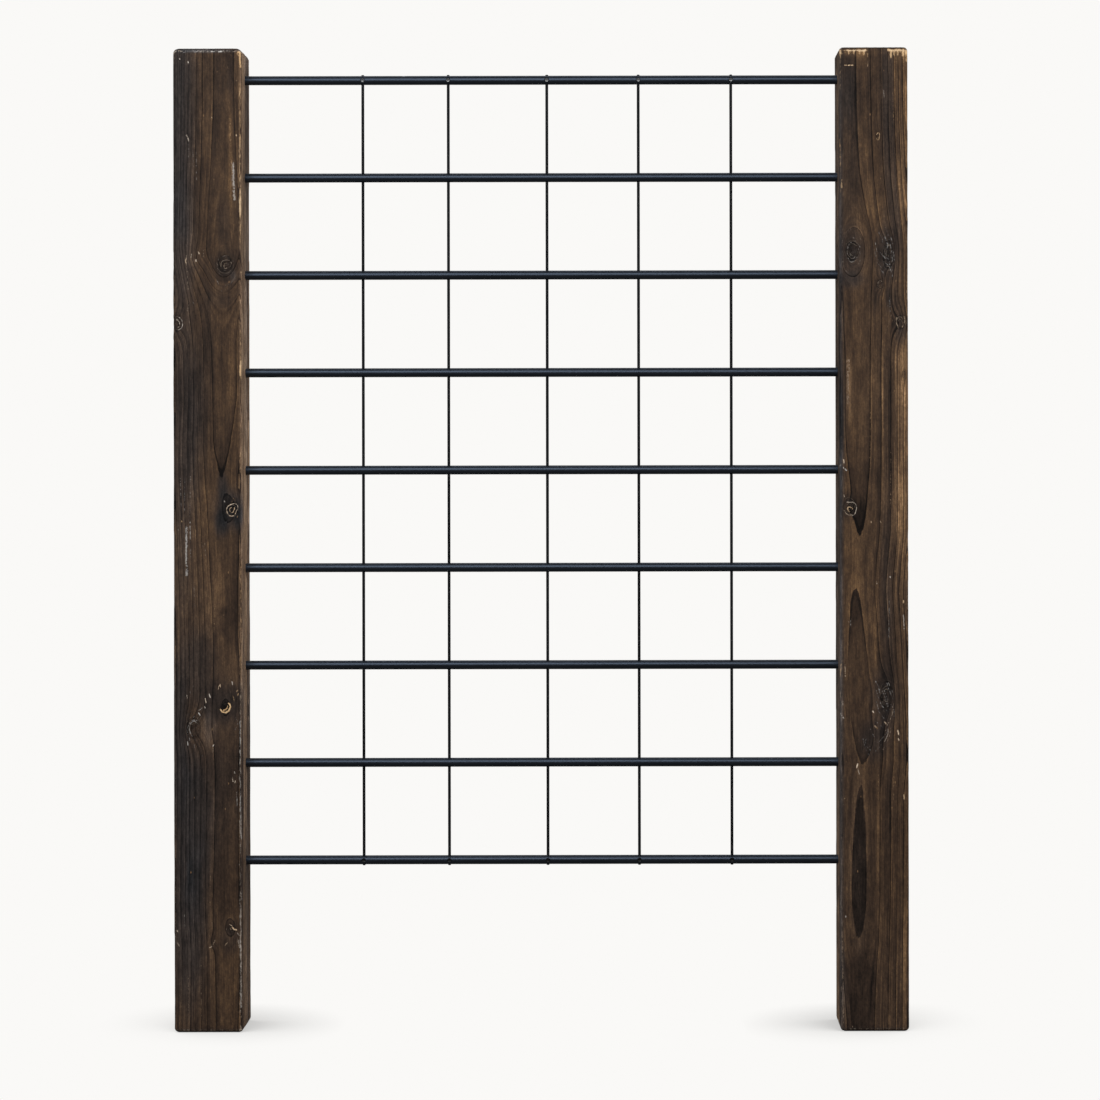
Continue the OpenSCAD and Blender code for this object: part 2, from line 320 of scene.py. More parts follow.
           ([(173.8, 53.4), (175.2, 52.0), (176.8, 51.0)], 0.7, 0.85, 0.7), ([(178.6, 50.2), (180.2, 50.0)], 0.6, 0.75, 0.3), ([(181.0, 50.8), (182.6, 51.0)], 0.7, 0.95, 0.7),
           ([(184.4, 52.0), (185.8, 52.6)], 0.6, 0.7, 1.0), ([(188, 51.4), (192, 51.6)], 0.6, 0.65, 1.0), ([(195, 51.6), (198.4, 51.5)], 0.6, 0.92, 1.0),
           ([(201, 51.4), (204, 51.5)], 0.7, 0.92, 0.8), ([(206.4, 51.6), (209.6, 51.6)], 0.6, 0.76, 0.8), ([(211.8, 51.5), (214.6, 51.3)], 0.8, 1.1, 1.0),
           ([(219.6, 51.4), (222.0, 51.3)], 0.9, 1.25, 1.0), ([(225, 51.7), (231, 51.5)], 0.6, 0.70, 0.7), ([(233.4, 51.6), (235.6, 51.4)], 0.7, 0.92, 0.6),
           ([(238.6, 51.6), (240.2, 52.6), (240.6, 56)], 1.0, 1.1, 0.0), ([(237.6, 53.2), (239.4, 55.6)], 0.7, 0.8, 0.0), ([(240.2, 57), (240.9, 67)], 0.9, 1.0, 0.0),
           ([(231.4, 53.8), (232.6, 56)], 0.5, 0.6, 0.1), ([(228.4, 66.4), (228.8, 68.4)], 0.6, 0.6, 0.2), ([(240.4, 80), (241, 88)], 0.6, 0.6, 0.1), ([(240.9, 94), (241.1, 106)], 0.6, 0.75, 0.1),
           ([(237.0, 79), (237.4, 81)], 0.5, 0.6, 0.2),
           # the knots' own rings
           (ring(225.6, 264.2, 8.8, 9.4, 70, 255), 0.35, 0.50, 0.7), (ring(226.0, 264.6, 5.2, 5.6, -50, 200), 0.35, 0.58, 0.6),
           (ring(226.6, 265.0, 2.3, 2.7, 30, 290), 0.4, 0.66, 0.5), ([(218, 287), (222, 290), (227, 289), (232, 284)], 0.4, 0.48, 0.7),
           (ring(177.6, 322.5, 4.4, 8.2, -75, 60), 0.45, 0.84, 0.8), (ring(177.4, 323.0, 2.2, 4.4, -60, 120), 0.40, 0.80, 0.7),
           (ring(232.0, 508.6, 5.7, 5.8, 20, 175), 0.45, 0.98, 0.55), (ring(232.0, 508.6, 5.7, 5.8, 190, 330), 0.40, 0.92, 0.45), (ring(232.0, 508.6, 5.6, 5.7, -40, 20), 0.35, 0.76, 0.5),
           (ring(231.9, 508.6, 2.5, 2.6, 110, 400), 0.45, 0.88, 0.3),
           ([(231.6, 501.4), (233.4, 497.0)], 0.4, 0.55, 0.0), ([(235.4, 501.2), (234.2, 497.8)], 0.4, 0.48, 0.0), ([(224.2, 500.0), (224.7, 500.8)], 0.6, 0.85, 0.9),
           ([(219, 509), (222, 511.5), (226, 511.8)], 0.4, 0.36, 1.0), ([(219.5, 514.4), (224, 513.6)], 0.4, 0.32, 1.0), ([(220.4, 521.4), (225, 522), (228.6, 518.4)], 0.5, 0.40, 1.0),
           ([(238.2, 515.6), (239.4, 520)], 0.4, 0.40, 1.0), ([(236.2, 484), (236.4, 485)], 0.6, 0.55, 0.7), ([(241.2, 500), (241.4, 503)], 0.5, 0.6, 0.6),
           (ring(193.0, 727.5, 4.2, 7.2, 40, 290), 0.4, 0.70, 1.0), (ring(230.0, 926.5, 4.6, 5.6, 180, 330), 0.4, 0.5, 0.6),
           (ring(222.6, 611.4, 3.0, 2.6, 150, 300), 0.35, 0.45, 0.2)],
)

RIGHT = dict(
    name="right_post", side=1, mid=874.5, seed=47, edge=11.0, crown=4.6,
    fills=[(858.8, 865, 16, 87, 1.0, 11.0), (856, 606, 12, 16, 0.5, 11.0), (860.5, 519, 10, 20, 1.0, 11.0), (862, 1040, 24, 80, 0.9, 11.75)],
    rim=[(47, 0.5), (230, 0.55), (400, 0.75), (535, 0.85), (560, 0.4), (592, 0.6), (625, 0.6), (690, 0.3), (735, 0.3), (762, 0.4),
         (778, 0.2), (800, 0.1), (925, 0.1), (937, 0.25), (1030, 0.4)],
    hush=[(844, 150, 8, 100, 1.0), (846, 690, 9, 40, 0.9)],
    bands=[(72.6, 82.4, 50, 245, -0.12, 0.20), (82.6, 140, 70, 245, 0.12, 0.0), (73.2, 140, 345, 545, 0.12, 0.0), (66.6, 73.2, 350, 540, -0.04, 0.05),
           (79.0, 140, 545, 640, 0.08, 0.0), (60.0, 65.5, 130, 240, 0.05, 0.0)],
    pith=[(47, 850.5), (127, 851.5), (180, 853.5), (215, 856), (240, 857.5), (300, 858), (442, 858.5), (495, 860.3),
          (535, 860.2), (565, 858), (592, 855.2), (620, 856.6), (685, 858.5), (720, 861), (762, 862.8), (776, 861.5),
          (790, 860.0), (830, 859.5), (860, 858.9), (937, 858.6), (1030, 860.5)],
    depth=[(47, 59.15), (127, 59.35), (165, 59.3), (180, 59.0), (215, 57.9), (235, 56.8), (320, 56.8), (355, 57.4),
           (430, 57.4), (465, 58.1), (490, 59.0), (521, 59.72), (536, 60.06), (565, 60.9), (592, 59.98), (604, 59.72),
           (617, 59.5), (652, 58.7), (685, 57.8), (720, 58.5), (745, 59.4), (762, 60.02), (772, 60.3), (783, 59.98),
           (796, 59.76), (830, 59.36), (880, 59.14), (900, 59.22), (906, 59.30), (912, 59.42), (920, 59.56), (926, 59.72), (931, 59.86), (936, 59.93), (939, 59.96),
           (943, 60.04), (952, 60.7), (985, 62.0), (1030, 63.0)],
    rings=[3, 8.5, 14, 19.5, 25, 31, 37, 43, 48.6, 54.2, 60, 65.5, 72.6, 78, 83.6, 87.6, 92, 97, 102, 108, 113, 119, 125, 131],
    knots=[(853.3, 251.4, 6.4, 9.0, 10.0, 12.5, 22), (889.0, 256, 5.0, 13.0, 7.0, 8.5, 20), (881, 284.8, 3.2, 4.4, 3.0, 5, 8),
           (900.6, 323, 4.6, 6.4, 6.5, 7.5, 17), (904, 374.5, 1.6, 3.0, 1.8, 3, 9), (848.8, 506.5, 5.0, 7.0, 1.3, 7, 11),
           (878.7, 137, 1.9, 3.6, 1.2, 3, 9), (886.5, 696, 5.5, 13.0, 7.0, 9, 23)],
    flows=[(870, 738, 1.5, 8, 14), (845, 268, 2.5, 9, 10)],
    tones=[(849, 92, 8, 34, -0.10, 0.35), (840.5, 300, 4.0, 300, -0.06, 0.3), (840, 700, 4.0, 330, -0.08, 0.4), (868, 105, 10, 45, -0.06, 0.0),
           (848, 150, 13, 80, -0.18, 0.1), (874, 195, 13, 30, 0.12, 0.0), (887, 100, 6, 55, -0.06, 0.10), (901, 140, 7, 110, 0.02, 0.0),
           (899, 130, 5, 34, -0.14, 0.0), (859, 88, 4, 26, -0.14, 0.0), (864, 88, 2.5, 24, -0.08, 0.0), (876.5, 180, 2.4, 26, -0.12, 0.0), (885.5, 225, 3, 18, 0.14, 0.1),
           (868, 110, 12, 50, -0.05, 0.0), (902, 205, 6, 30, 0.10, 0.0), (900, 56, 10, 9, 0.22, 0.0), (856, 53, 18, 5, 0.20, 0.0),
           (900.5, 420, 8.5, 120, 0.12, 0.0), (842.5, 470, 4, 24, 0.08, 0.1), (900.5, 590, 8.5, 90, 0.02, 0.0), (897, 880, 8, 110, -0.04, 0.0),
           (893.4, 440, 3.2, 110, -0.26, 0.0), (903.6, 400, 1.8, 100, 0.16, 0.0), (842.6, 395, 3, 50, -0.18, 0.1), (883.6, 430, 1.6, 80, 0.20, 0.0),
           (905, 960, 4, 80, 0.16, 0.0), (853, 255, 14, 25, -0.09, 0.28), (851, 280, 14, 8, -0.16, 0.3), (875.5, 296, 4.5, 17, -0.26, 0.1), (889, 295, 2.6, 14, -0.18, 0.1),
           (887, 256, 11, 25, -0.18, 0.35), (893, 300, 7, 12, -0.12, 0.15), (901, 326, 7, 16, -0.14, 0.2),
           (849.4, 390, 4.6, 36, 0.34, 0.10), (841.5, 430, 3.5, 40, -0.12, 0.3), (849, 507, 8, 14, -0.10, 0.15),
           (859, 566, 17, 28, 0.05, 0.0), (866, 625, 12, 45, 0.09, 0.0), (886, 600, 6, 80, -0.10, 0.2), (884, 700, 13, 32, -0.21, 0.35),
           (898, 575, 4, 34, -0.12, 0.0), (891, 625, 3, 34, -0.18, 0.1), (897, 630, 2, 24, -0.16, 0.0), (892, 665, 3.4, 22, -0.26, 0.1), (875.6, 638, 1.6, 44, 0.24, 0.0),
           (873, 740, 14, 20, -0.24, 0.35), (868, 795, 9, 26, 0.03, 0.0), (872, 815, 36, 40, -0.05, 0.0), (874, 930, 40, 110, -0.07, 0.0),
           (878, 800, 1.8, 60, 0.28, 0.0), (877.2, 880, 1.5, 60, 0.18, 0.0), (871.6, 860, 4.6, 74, -0.16, 0.0), (889, 800, 5, 40, -0.12, 0.05),
           (843.4, 985, 2.2, 40, 0.14, 0.2), (846, 1000, 3.4, 30, 0.10, 0.1), (858.8, 868, 8, 80, 0.02, 0.15), (861, 966, 13, 20, -0.10, 0.0)],
    inner=[(49, 62, 0.8, 0.1), (62, 92, 0.62, 0.2), (92, 140, 0.3, 0.2), (140, 175, 0.42, 0.0), (175, 195, 0.55, 0.1),
           (195, 420, 0.26, 0.2), (420, 480, 0.4, 0.4), (480, 640, 0.2, 0.4), (640, 770, 0.5, 0.4), (770, 1020, 0.56, 0.6)],
    outer=[(49, 64, 0.9, 0.0), (64, 120, 0.30, 0.0), (120, 240, 0.26, 0.0), (240, 335, 0.46, 0.1), (335, 590, 0.22, 0.0),
           (590, 650, 0.60, 0.6), (650, 800, 0.36, 0.2), (800, 1020, 0.40, 0.0)],
    marks=[([(845.8, 66), (847.4, 66)], 0.6, 1.0, 0.2), ([(849.4, 66.2), (850.8, 66)], 0.6, 1.0, 0.2), ([(852.4, 66), (853.8, 66)], 0.6, 1.0, 0.2),
           # the worn top edge
           ([(841.0, 51.0), (841.8, 54.0)], 1.0, 1.15, 0.15), ([(844.4, 51.2), (846.4, 51.4)], 0.9, 0.85, 0.1), ([(848.2, 51.2), (852, 51.6), (856.6, 51.2)], 1.2, 1.10, 0.2),
           ([(849.6, 51), (849.7, 54.6)], 1.0, 0.86, 0.05), ([(854.8, 51), (854.9, 54.8)], 1.0, 0.86, 0.05), ([(851.6, 53), (851.8, 58)], 0.5, 0.5, 0.0),
           ([(859, 51.2), (863, 51.8), (866.6, 51.0)], 1.3, 1.20, 0.2), ([(860.7, 51), (860.8, 54.6)], 1.1, 0.86, 0.05), ([(864.9, 51), (865.0, 55)], 1.2, 0.92, 0.05),
           ([(868.4, 51), (868.8, 58)], 0.7, 0.60, 0.0), ([(874, 51.4), (874.2, 54.4)], 0.5, 0.5, 0.0), ([(880.6, 51), (880.8, 54)], 0.45, 0.4, 0.0),
           ([(889.6, 51), (894, 51.8), (899, 51.3), (905, 51.6)], 2.3, 1.05, 0.12), ([(891.9, 52), (892.0, 57.6)], 1.8, 0.90, 0.05), ([(895.0, 52), (895.1, 56)], 1.7, 0.84, 0.05),
           ([(898.7, 51), (898.8, 55.6)], 1.5, 0.82, 0.05), ([(904.0, 51), (904.1, 56.4)], 2.0, 0.95, 0.05), ([(897, 58), (897.4, 68)], 0.8, 0.46, 0.0),
           ([(904.4, 57), (904.4, 71)], 0.8, 0.52, 0.0), ([(869, 62), (868.8, 68)], 0.6, 0.6, 0.2), ([(838.3, 61.4), (838.5, 62.4)], 0.6, 1.0, 0.2),
           ([(838.3, 65.8), (838.5, 66.8)], 0.6, 0.95, 0.2), ([(838.4, 70), (838.6, 71)], 0.6, 0.85, 0.2), ([(838.4, 80), (838.6, 81)], 0.5, 0.6, 0.2), ([(838.4, 88), (838.6, 89.4)], 0.5, 0.6, 0.2),
           ([(893.8, 94), (894.4, 124)], 0.8, 0.48, 0.0), ([(884.5, 90), (885, 98)], 0.6, 0.52, 0.8), ([(840.8, 140), (841.4, 168)], 0.7, 0.62, 0.0),
           ([(842.8, 178), (842.6, 188)], 0.7, 0.8, 0.1), ([(840, 192.5), (843.6, 193)], 0.6, 0.9, 0.3),
           ([(885, 236), (888.8, 246), (886.4, 252)], 0.6, 0.62, 1.0), ([(889.6, 240), (892.4, 252), (893, 262)], 0.5, 0.56, 1.0),
           ([(883.5, 256), (889.6, 260), (890.6, 268)], 0.5, 0.56, 1.0), ([(876, 243), (877.6, 252)], 0.5, 0.62, 0.9),
           ([(879, 232), (883, 240), (884, 248)], 0.5, 0.54, 1.0), ([(886, 228), (889, 236)], 0.5, 0.54, 1.0), ([(890, 262), (893, 270), (893, 278)], 0.5, 0.52, 1.0),
           ([(877, 262), (882, 268), (886, 278)], 0.5, 0.52, 1.0), ([(881, 270), (885, 275)], 0.5, 0.54, 0.9), ([(894, 250), (895, 262)], 0.4, 0.54, 0.9),
           ([(873, 246), (874, 254)], 0.4, 0.50, 0.9), ([(884, 244), (887, 256)], 0.5, 0.54, 1.0),
           (ring(880.8, 284.6, 2.2, 4.2, 40, 290), 0.35, 0.62, 0.5),
           ([(890, 302), (891, 312)], 0.6, 0.58, 1.0), ([(892, 315), (887, 330), (884, 342)], 0.5, 0.46, 0.4),
           ([(897.4, 318), (896.8, 323), (898.8, 328.4)], 0.45, 0.72, 0.4), ([(902.8, 327.6), (905.4, 322), (905, 317)], 0.45, 0.72, 0.4),
           ([(908, 276), (907.6, 300)], 0.6, 0.7, 0.2), ([(848.6, 360), (848.4, 376), (848.4, 404)], 2.6, 0.56, 0.45),
           ([(849.6, 359), (849.8, 372)], 1.0, 0.60, 0.5), ([(838.6, 465.6), (843, 467), (847, 470.6)], 0.65, 1.10, 1.0),
           ([(844, 460), (844.4, 462)], 0.7, 1.0, 0.5), ([(844.4, 495), (845, 497)], 0.6, 0.8, 0.6), ([(871.4, 521.6), (871.8, 523)], 0.6, 0.8, 0.3),
           ([(880.6, 521.4), (881.4, 523)], 0.6, 0.8, 0.3), ([(891.2, 450), (890.8, 508)], 0.4, 0.5, 0.2), ([(870.8, 410), (870.4, 470)], 0.4, 0.5, 0.1),
           ([(890.4, 576.8), (890.6, 578)], 0.7, 1.1, 0.8), ([(877, 582.8), (877.2, 583.8)], 0.6, 0.9, 0.6), ([(848.6, 622), (852.6, 622.8)], 0.5, 0.8, 0.8),
           ([(851, 618.6), (850.6, 626)], 0.45, 0.6, 0.9), ([(903.4, 600), (903.6, 602.4)], 0.7, 0.9, 0.2), ([(903.4, 614), (904.2, 630)], 0.7, 0.78, 0.9),
           ([(889.4, 600), (888.6, 640)], 0.9, 0.50, 1.0), ([(841.4, 664), (839.4, 684)], 0.8, 0.82, 0.2), ([(845, 664), (845.4, 676)], 0.6, 0.72, 0.4),
           ([(840.4, 690), (841.6, 706)], 0.5, 0.7, 0.6), ([(839.8, 712), (843.8, 718)], 0.6, 0.9, 0.9), ([(842.4, 700), (843, 705)], 0.6, 0.8, 0.7),
           ([(875.6, 681), (878.4, 686), (879.6, 692)], 0.6, 0.70, 1.0), ([(880.6, 688), (884.6, 696), (887.6, 707)], 0.5, 0.56, 1.0),
           ([(888.2, 682), (892.4, 692)], 0.5, 0.60, 0.9), ([(872.8, 711), (873.4, 712)], 0.7, 1.1, 0.6), ([(893.8, 703), (892, 715), (886.6, 726)], 0.5, 0.60, 0.5),
           ([(884.6, 722), (886.4, 724)], 0.7, 0.90, 0.4), ([(883.4, 732), (887.6, 728), (888.2, 733), (884.6, 741)], 0.5, 0.62, 0.7),
           ([(891, 727), (889, 737), (882, 751)], 0.5, 0.60, 0.5), ([(874.6, 725.6), (876.2, 726.4)], 0.7, 0.9, 0.3),
           ([(876, 690), (879, 698), (881, 706)], 0.5, 0.54, 1.0), ([(884, 690), (887, 698), (888, 706)], 0.5, 0.56, 1.0), ([(891, 704), (894, 710), (894, 716)], 0.5, 0.58, 0.8),
           ([(875, 720), (879, 724), (883, 727)], 0.5, 0.54, 1.0), ([(877, 743), (882, 738), (888, 731)], 0.5, 0.54, 1.0), ([(866, 745), (871, 751), (877, 753)], 0.5, 0.50, 1.0),
           ([(870, 728), (874, 736), (875, 744)], 0.5, 0.50, 1.0), ([(863, 738), (865, 748), (869, 755)], 0.5, 0.48, 1.0),
           ([(897.6, 730), (898.4, 734)], 0.8, 1.15, 0.4), ([(898.2, 738), (898.8, 740)], 0.7, 1.0, 0.5),
           ([(856.4, 767), (857.6, 763.5)], 0.8, 1.1, 0.5), ([(858.2, 770), (859.2, 774)], 0.6, 0.8, 0.6), ([(838, 759), (850, 762)], 0.4, 0.5, 0.0),
           ([(903.4, 794), (904, 798)], 0.7, 0.9, 0.2), ([(893.6, 770), (893.4, 800)], 0.4, 0.5, 0.1), ([(878.6, 765), (877.8, 800)], 0.5, 0.5, 0.0),
           ([(845, 915), (845.8, 917)], 0.7, 0.8, 0.9), ([(850.4, 1024), (853.4, 1028)], 0.6, 0.6, 0.4),
           ([(842.0, 930), (842.4, 975)], 0.7, 0.58, 0.35), ([(842.4, 975), (843.0, 1022)], 0.7, 0.62, 0.35), ([(843.0, 803.2), (843.2, 804.2)], 0.5, 0.85, 0.7),
           ([(842.6, 817.6), (842.7, 818.6)], 0.5, 0.80, 0.8), ([(842.3, 848.8), (842.5, 850.4)], 0.6, 0.90, 1.0), ([(842.6, 856.6), (842.7, 857.6)], 0.5, 0.80, 0.9),
           ([(840.4, 892), (840.7, 912)], 0.5, 0.62, 0.8), ([(844.4, 797.4), (844.8, 798.6)], 0.5, 0.80, 0.2),
           # the knots' own rings
           (ring(854.0, 252.0, 6.6, 9.8, 20, 200), 0.5, 0.55, 0.9), (ring(854.2, 252.6, 6.0, 9.0, 215, 340), 0.5, 0.52, 0.9),
           (ring(854.4, 252.4, 3.6, 6.0, 60, 300), 0.5, 0.55, 0.9), (ring(852.6, 253.0, 11.5, 19.0, 100, 250), 0.5, 0.46, 0.8),
           (ring(852.6, 254.0, 9.0, 14.0, -60, 100), 0.5, 0.46, 0.8), (ring(852.0, 256.0, 14.5, 24.0, 40, 130), 0.5, 0.42, 0.6),
           (ring(850.4, 508.4, 6.0, 7.6, -70, 120), 0.55, 0.80, 0.7), (ring(850.0, 509.0, 5.4, 6.6, 190, 300), 0.4, 0.66, 0.5),
           (ring(850.4, 509.4, 2.2, 2.8, 0, 250), 0.5, 0.85, 0.2), (ring(878.8, 137.0, 1.8, 3.3, -150, 150), 0.35, 0.85, 0.1),
           ([(888.6, 306), (890.6, 300), (889.8, 296)], 0.5, 0.56, 1.0),
           ([(884, 262), (889, 266), (893, 274)], 0.4, 0.62, 1.0), ([(880, 252), (886, 259)], 0.4, 0.6, 1.0),
           ([(893.4, 244), (891, 236)], 0.4, 0.6, 1.0), ([(875, 250), (877, 258), (880, 262)], 0.4, 0.6, 0.9),
           ([(886, 680), (889, 690), (893, 699)], 0.4, 0.62, 1.0), ([(878, 696), (882, 706), (889, 712)], 0.4, 0.62, 1.0),
           ([(876, 700), (879, 712), (884, 718)], 0.4, 0.55, 1.0), ([(868, 748), (874, 752), (881, 745)], 0.4, 0.52, 0.9),
           (ring(868.5, 742.0, 3.0, 5.0, 90, 300), 0.35, 0.50, 1.0)],
)

# Knots on the faces that aren't at the front: face, place across, height, half width, half height, rise, spreads (mm)
LEFT_MORE = [("right", -14, 905, 7, 9, 5, 13, 24), ("right", 18, 420, 5, 7, 4, 11, 20), ("left", 8, 760, 10, 13, 7, 18, 34),
             ("left", -20, 310, 6, 8, 4, 12, 22), ("left", 24, 1115, 5, 7, 3, 10, 18), ("back", -16, 1020, 9, 12, 7, 17, 32),
             ("back", 20, 560, 11, 14, 8, 19, 36), ("back", -8, 215, 6, 8, 4, 12, 22)]
RIGHT_MORE = [("left", 16, 1010, 8, 10, 6, 15, 28), ("left", -18, 640, 5, 7, 4, 11, 20), ("left", 6, 180, 6, 8, 4, 12, 22),
              ("right", -12, 880, 10, 13, 7, 18, 34), ("right", 20, 430, 7, 9, 5, 14, 26), ("back", 14, 1130, 6, 8, 4, 12, 22),
              ("back", -20, 770, 11, 14, 8, 19, 36), ("back", 10, 330, 8, 11, 6, 15, 28)]
FACES = {"front": ((0, -1), (1, 0)), "back": ((0, 1), (-1, 0)), "right": ((1, 0), (0, 1)), "left": ((-1, 0), (0, -1))}


def all_knots(post):
    """Every knot as face normal, face tangent, place across, height and its sizes, all in mm."""
    out = []
    for x, y, rx, ry, rise, sx, sy in post["knots"]:
        out.append(("front", (x - post["mid"]) * PX, up(y), rx * PX, ry * PX, rise, sx * PX, sy * PX))
    return out + (LEFT_MORE if post["side"] < 0 else RIGHT_MORE)


def timber(post, p):
    """The fields of the timber at points p (mm, about the post's own axis): rings, knots, tones, wear and grain."""
    u, v, w = p[:, 0], p[:, 1], p[:, 2]
    seed = post["seed"]
    pu = along([(up(y), (x - post["mid"]) * PX) for y, x in post["pith"]], w)
    pv = along([(up(y), d) for y, d in post["depth"]], w) - HALF
    r = np.hypot(u - pu, v - pv)
    front = np.exp(-(np.maximum(v + HALF, 0) / 16.0) ** 2)
    r = r + (0.8 - 0.66 * front) * noise(np.stack([u / 21, v / 21, w / 95], 1), seed)
    r = r + (0.16 - 0.08 * front) * noise(np.stack([u / 7, v / 7, w / 38], 1), seed + 1)
    gu, gv = u.copy(), v.copy()
    rho = np.full(len(p), 9.0)
    ang = np.zeros(len(p))
    for face, c, h, rx, ry, rise, sx, sy in all_knots(post):
        n, e = FACES[face]
        a = (u * e[0] + v * e[1]) - c
        depth = HALF - (u * n[0] + v * n[1])
        b = w - h
        fade = np.exp(-(np.maximum(depth, 0) / 24.0) ** 2)
        bump = np.exp(-(a / sx) ** 2 - (b / sy) ** 2) * fade
        r = r - rise * bump
        push = 0.75 * np.exp(-(a / (1.7 * rx)) ** 2 - (b / (2.6 * ry)) ** 2) * fade * a
        gu -= push * abs(e[0]) * (1 if e[0] >= 0 else -1)
        gv -= push * abs(e[1]) * (1 if e[1] >= 0 else -1)
        k = np.hypot(a / rx, b / ry) + 9.0 * step(8.0, 30.0, depth)
        near = k < rho
        rho = np.where(near, k, rho)
        ang = np.where(near, np.arctan2(b / ry, a / rx), ang)
    x = u / PX + post["mid"]
    y = 1030.7 - w / PX
    for fx, fy, rise, sx, sy in post["flows"]:
        r = r - rise * np.exp(-((x - fx) / sx) ** 2 - ((y - fy) / sy) ** 2) * front
    ring = np.interp(r, [0.0] + list(post["rings"]), np.arange(len(post["rings"]) + 1.0))

    side_on = np.abs(u) > np.abs(v)
    facing = np.where(side_on, np.abs(u - pu), np.abs(v - pv)) / np.maximum(np.hypot(u - pu, v - pv), 1e-6)
    steep = np.sqrt(np.clip(1 - facing ** 2, 0, 1))
    fill = np.zeros(len(p))
    edge = ring - post["edge"]
    for fx, fy, rx, ry, s, at in post["fills"]:
        m = s * np.exp(-(((x - fx) / rx) ** 2 + ((y - fy) / ry) ** 2) ** 3) * front
        edge = np.where((m > fill) & (m > 0.01), ring - at, edge)
        fill = np.maximum(fill, m)
    hush = np.zeros(len(p))
    for hx, hy, rx, ry, s in post["hush"]:
        hush = np.maximum(hush, s * np.exp(-(((x - hx) / rx) ** 2 + ((y - hy) / ry) ** 2) ** 2) * front)

    # staining: darker and lighter parts of the front, the inner side and the rest; the inner side's overall lift is
    # painted light
    tone = 0.10 * noise(np.stack([u / 30, v / 30, w / 170], 1), seed + 5) + 0.07 * noise(np.stack([u / 11, v / 11, w / 70], 1), seed + 6)
    # the cool tone: greyer and bluer, partly real charcoal stain and partly a painted bluish sheen
    cool_and_sheen = 0.05 + (0.16 - 0.08 * front) * noise(np.stack([u / 34, v / 34, w / 210], 1), seed + 8)
    outside = post["side"] * (u - pu) > 0
    for r0, r1, y0, y1, dt, dc in post["bands"]:
        m = step(r0 - 0.5, r0 + 0.5, r) * (1 - step(r1 - 0.5, r1 + 0.5, r)) * step(y0 - 16, y0 + 16, y) * (1 - step(y1 - 16, y1 + 16, y))
        tone += dt * m * front * outside
        cool_and_sheen += dc * m * front * outside
    wob = 0.22 * noise(np.stack([u / 6, v / 6, w / 30], 1), seed + 9)
    for tx, ty, rx, ry, dt, dc in post["tones"]:
        q = ((x - tx) / rx) ** 2 + ((y - ty) / ry) ** 2
        m = np.exp(-np.maximum(q + wob, 0) ** 1.6) * front
        tone += dt * m
        cool_and_sheen += dc * m
    inner = step(0, 30, -post["side"] * u - 20) * step(HALF - 5.0, HALF - 0.5, -post["side"] * u)
    tone += inner * 0.10 * noise(np.stack([v / 5.5, w / 420, u * 0], 1), seed + 14)
    low = step(650, 760, y) if post["side"] < 0 else np.zeros(len(p))
    # the inner side faces are made lighter and cooler all over: painted light, for the side lamps that light them; the
    # stripes and the vein are stain
    if post["side"] < 0:
        vein = np.exp(-((v - 15 - 4 * noise(np.stack([w / 200, w * 0, w * 0], 1), seed + 15)) / 9.0) ** 2)
        tone += inner * (0.45 - 0.15 * low - 0.06 * vein)
        cool_and_sheen += inner * (0.32 + 0.16 * vein)
        tone -= 0.36 * np.exp(-((u - 45.0) / 1.0) ** 2) * (v < -36) * low
    else:
        tone += inner * (0.17 + 0.08 * step(700, 860, y) - 0.08 * np.exp(-((y - 325) / 60.0) ** 2))
        cool_and_sheen += inner * 0.40
    ends = np.exp(-((POST_H - w) / 2.2) ** 2) + np.exp(-(w / 1.7) ** 2)
    tone -= 0.22 * np.clip(ends, 0, 1)
    foot = np.exp(-((w - 3.8) / 1.4) ** 2) * (np.maximum(np.abs(u), np.abs(v)) > HALF - 6)
    tone += 0.10 * foot
    cool_and_sheen += 0.30 * foot

    # wear: arrises, pale marks
    du, dv = HALF - np.abs(u), HALF - np.abs(v)
    arris = np.exp(-(du ** 2 + dv ** 2) / (2 * 2.5 ** 2))
    scuff = np.exp(-((du - 2.4 * low) ** 2 + dv ** 2) / (2 * (1.9 - 0.6 * low) ** 2))
    wear = np.zeros(len(p))
    grey = np.zeros(len(p))
    wsum = np.full(len(p), 1e-6)
    at_inner = (-post["side"] * u > 30) & (v < -30)
    at_outer = (post["side"] * u > 30) & (v < -30)
    for rows, mask in ((post["inner"], at_inner), (post["outer"], at_outer)):
        for y0, y1, s, g in rows:
            m = step(y0 - 3, y0 + 3, y) * (1 - step(y1 - 3, y1 + 3, y)) * mask
            wear += 1.48 * s * scuff * m
            grey += g * arris * m * s
            wsum += arris * m * s
    rest = ~(at_inner | at_outer)
    wear += rest * arris * (0.42 + 0.35 * noise(np.stack([u / 50, v / 50, w / 60], 1), seed + 12))
    grey += rest * arris * 0.3
    wsum += rest * arris
    drop = 3.8 if post["side"] < 0 else 2.2
    rim = np.exp(-((POST_H - drop - w) / 1.7) ** 2) * (np.maximum(np.abs(u), np.abs(v)) > HALF - 7)
    wear += rim * (0.62 if post["side"] < 0 else 0.10)
    grey += rim * 0.9
    wsum += rim
    wear += foot * 0.60
    grey += foot * 0.7
    wsum += foot
    if post["side"] > 0:
        lip = np.exp(-((POST_H - 7.0 - w) / 4.0) ** 2) * front * (0.34 + 0.20 * np.clip((np.abs(u - 4) - 16) / 3, -1, 1))
        wear += lip
        wsum += np.abs(lip)
    stroke = np.zeros(len(p))
    sgrey = np.zeros(len(p))
    for q, hw, s, g in strokes(post):
        lo, hi = q.min(0) - 6, q.max(0) + 6
        sel = np.where((u > lo[0]) & (u < hi[0]) & (w > lo[1]) & (w < hi[1]) & (v < -HALF + 7))[0]
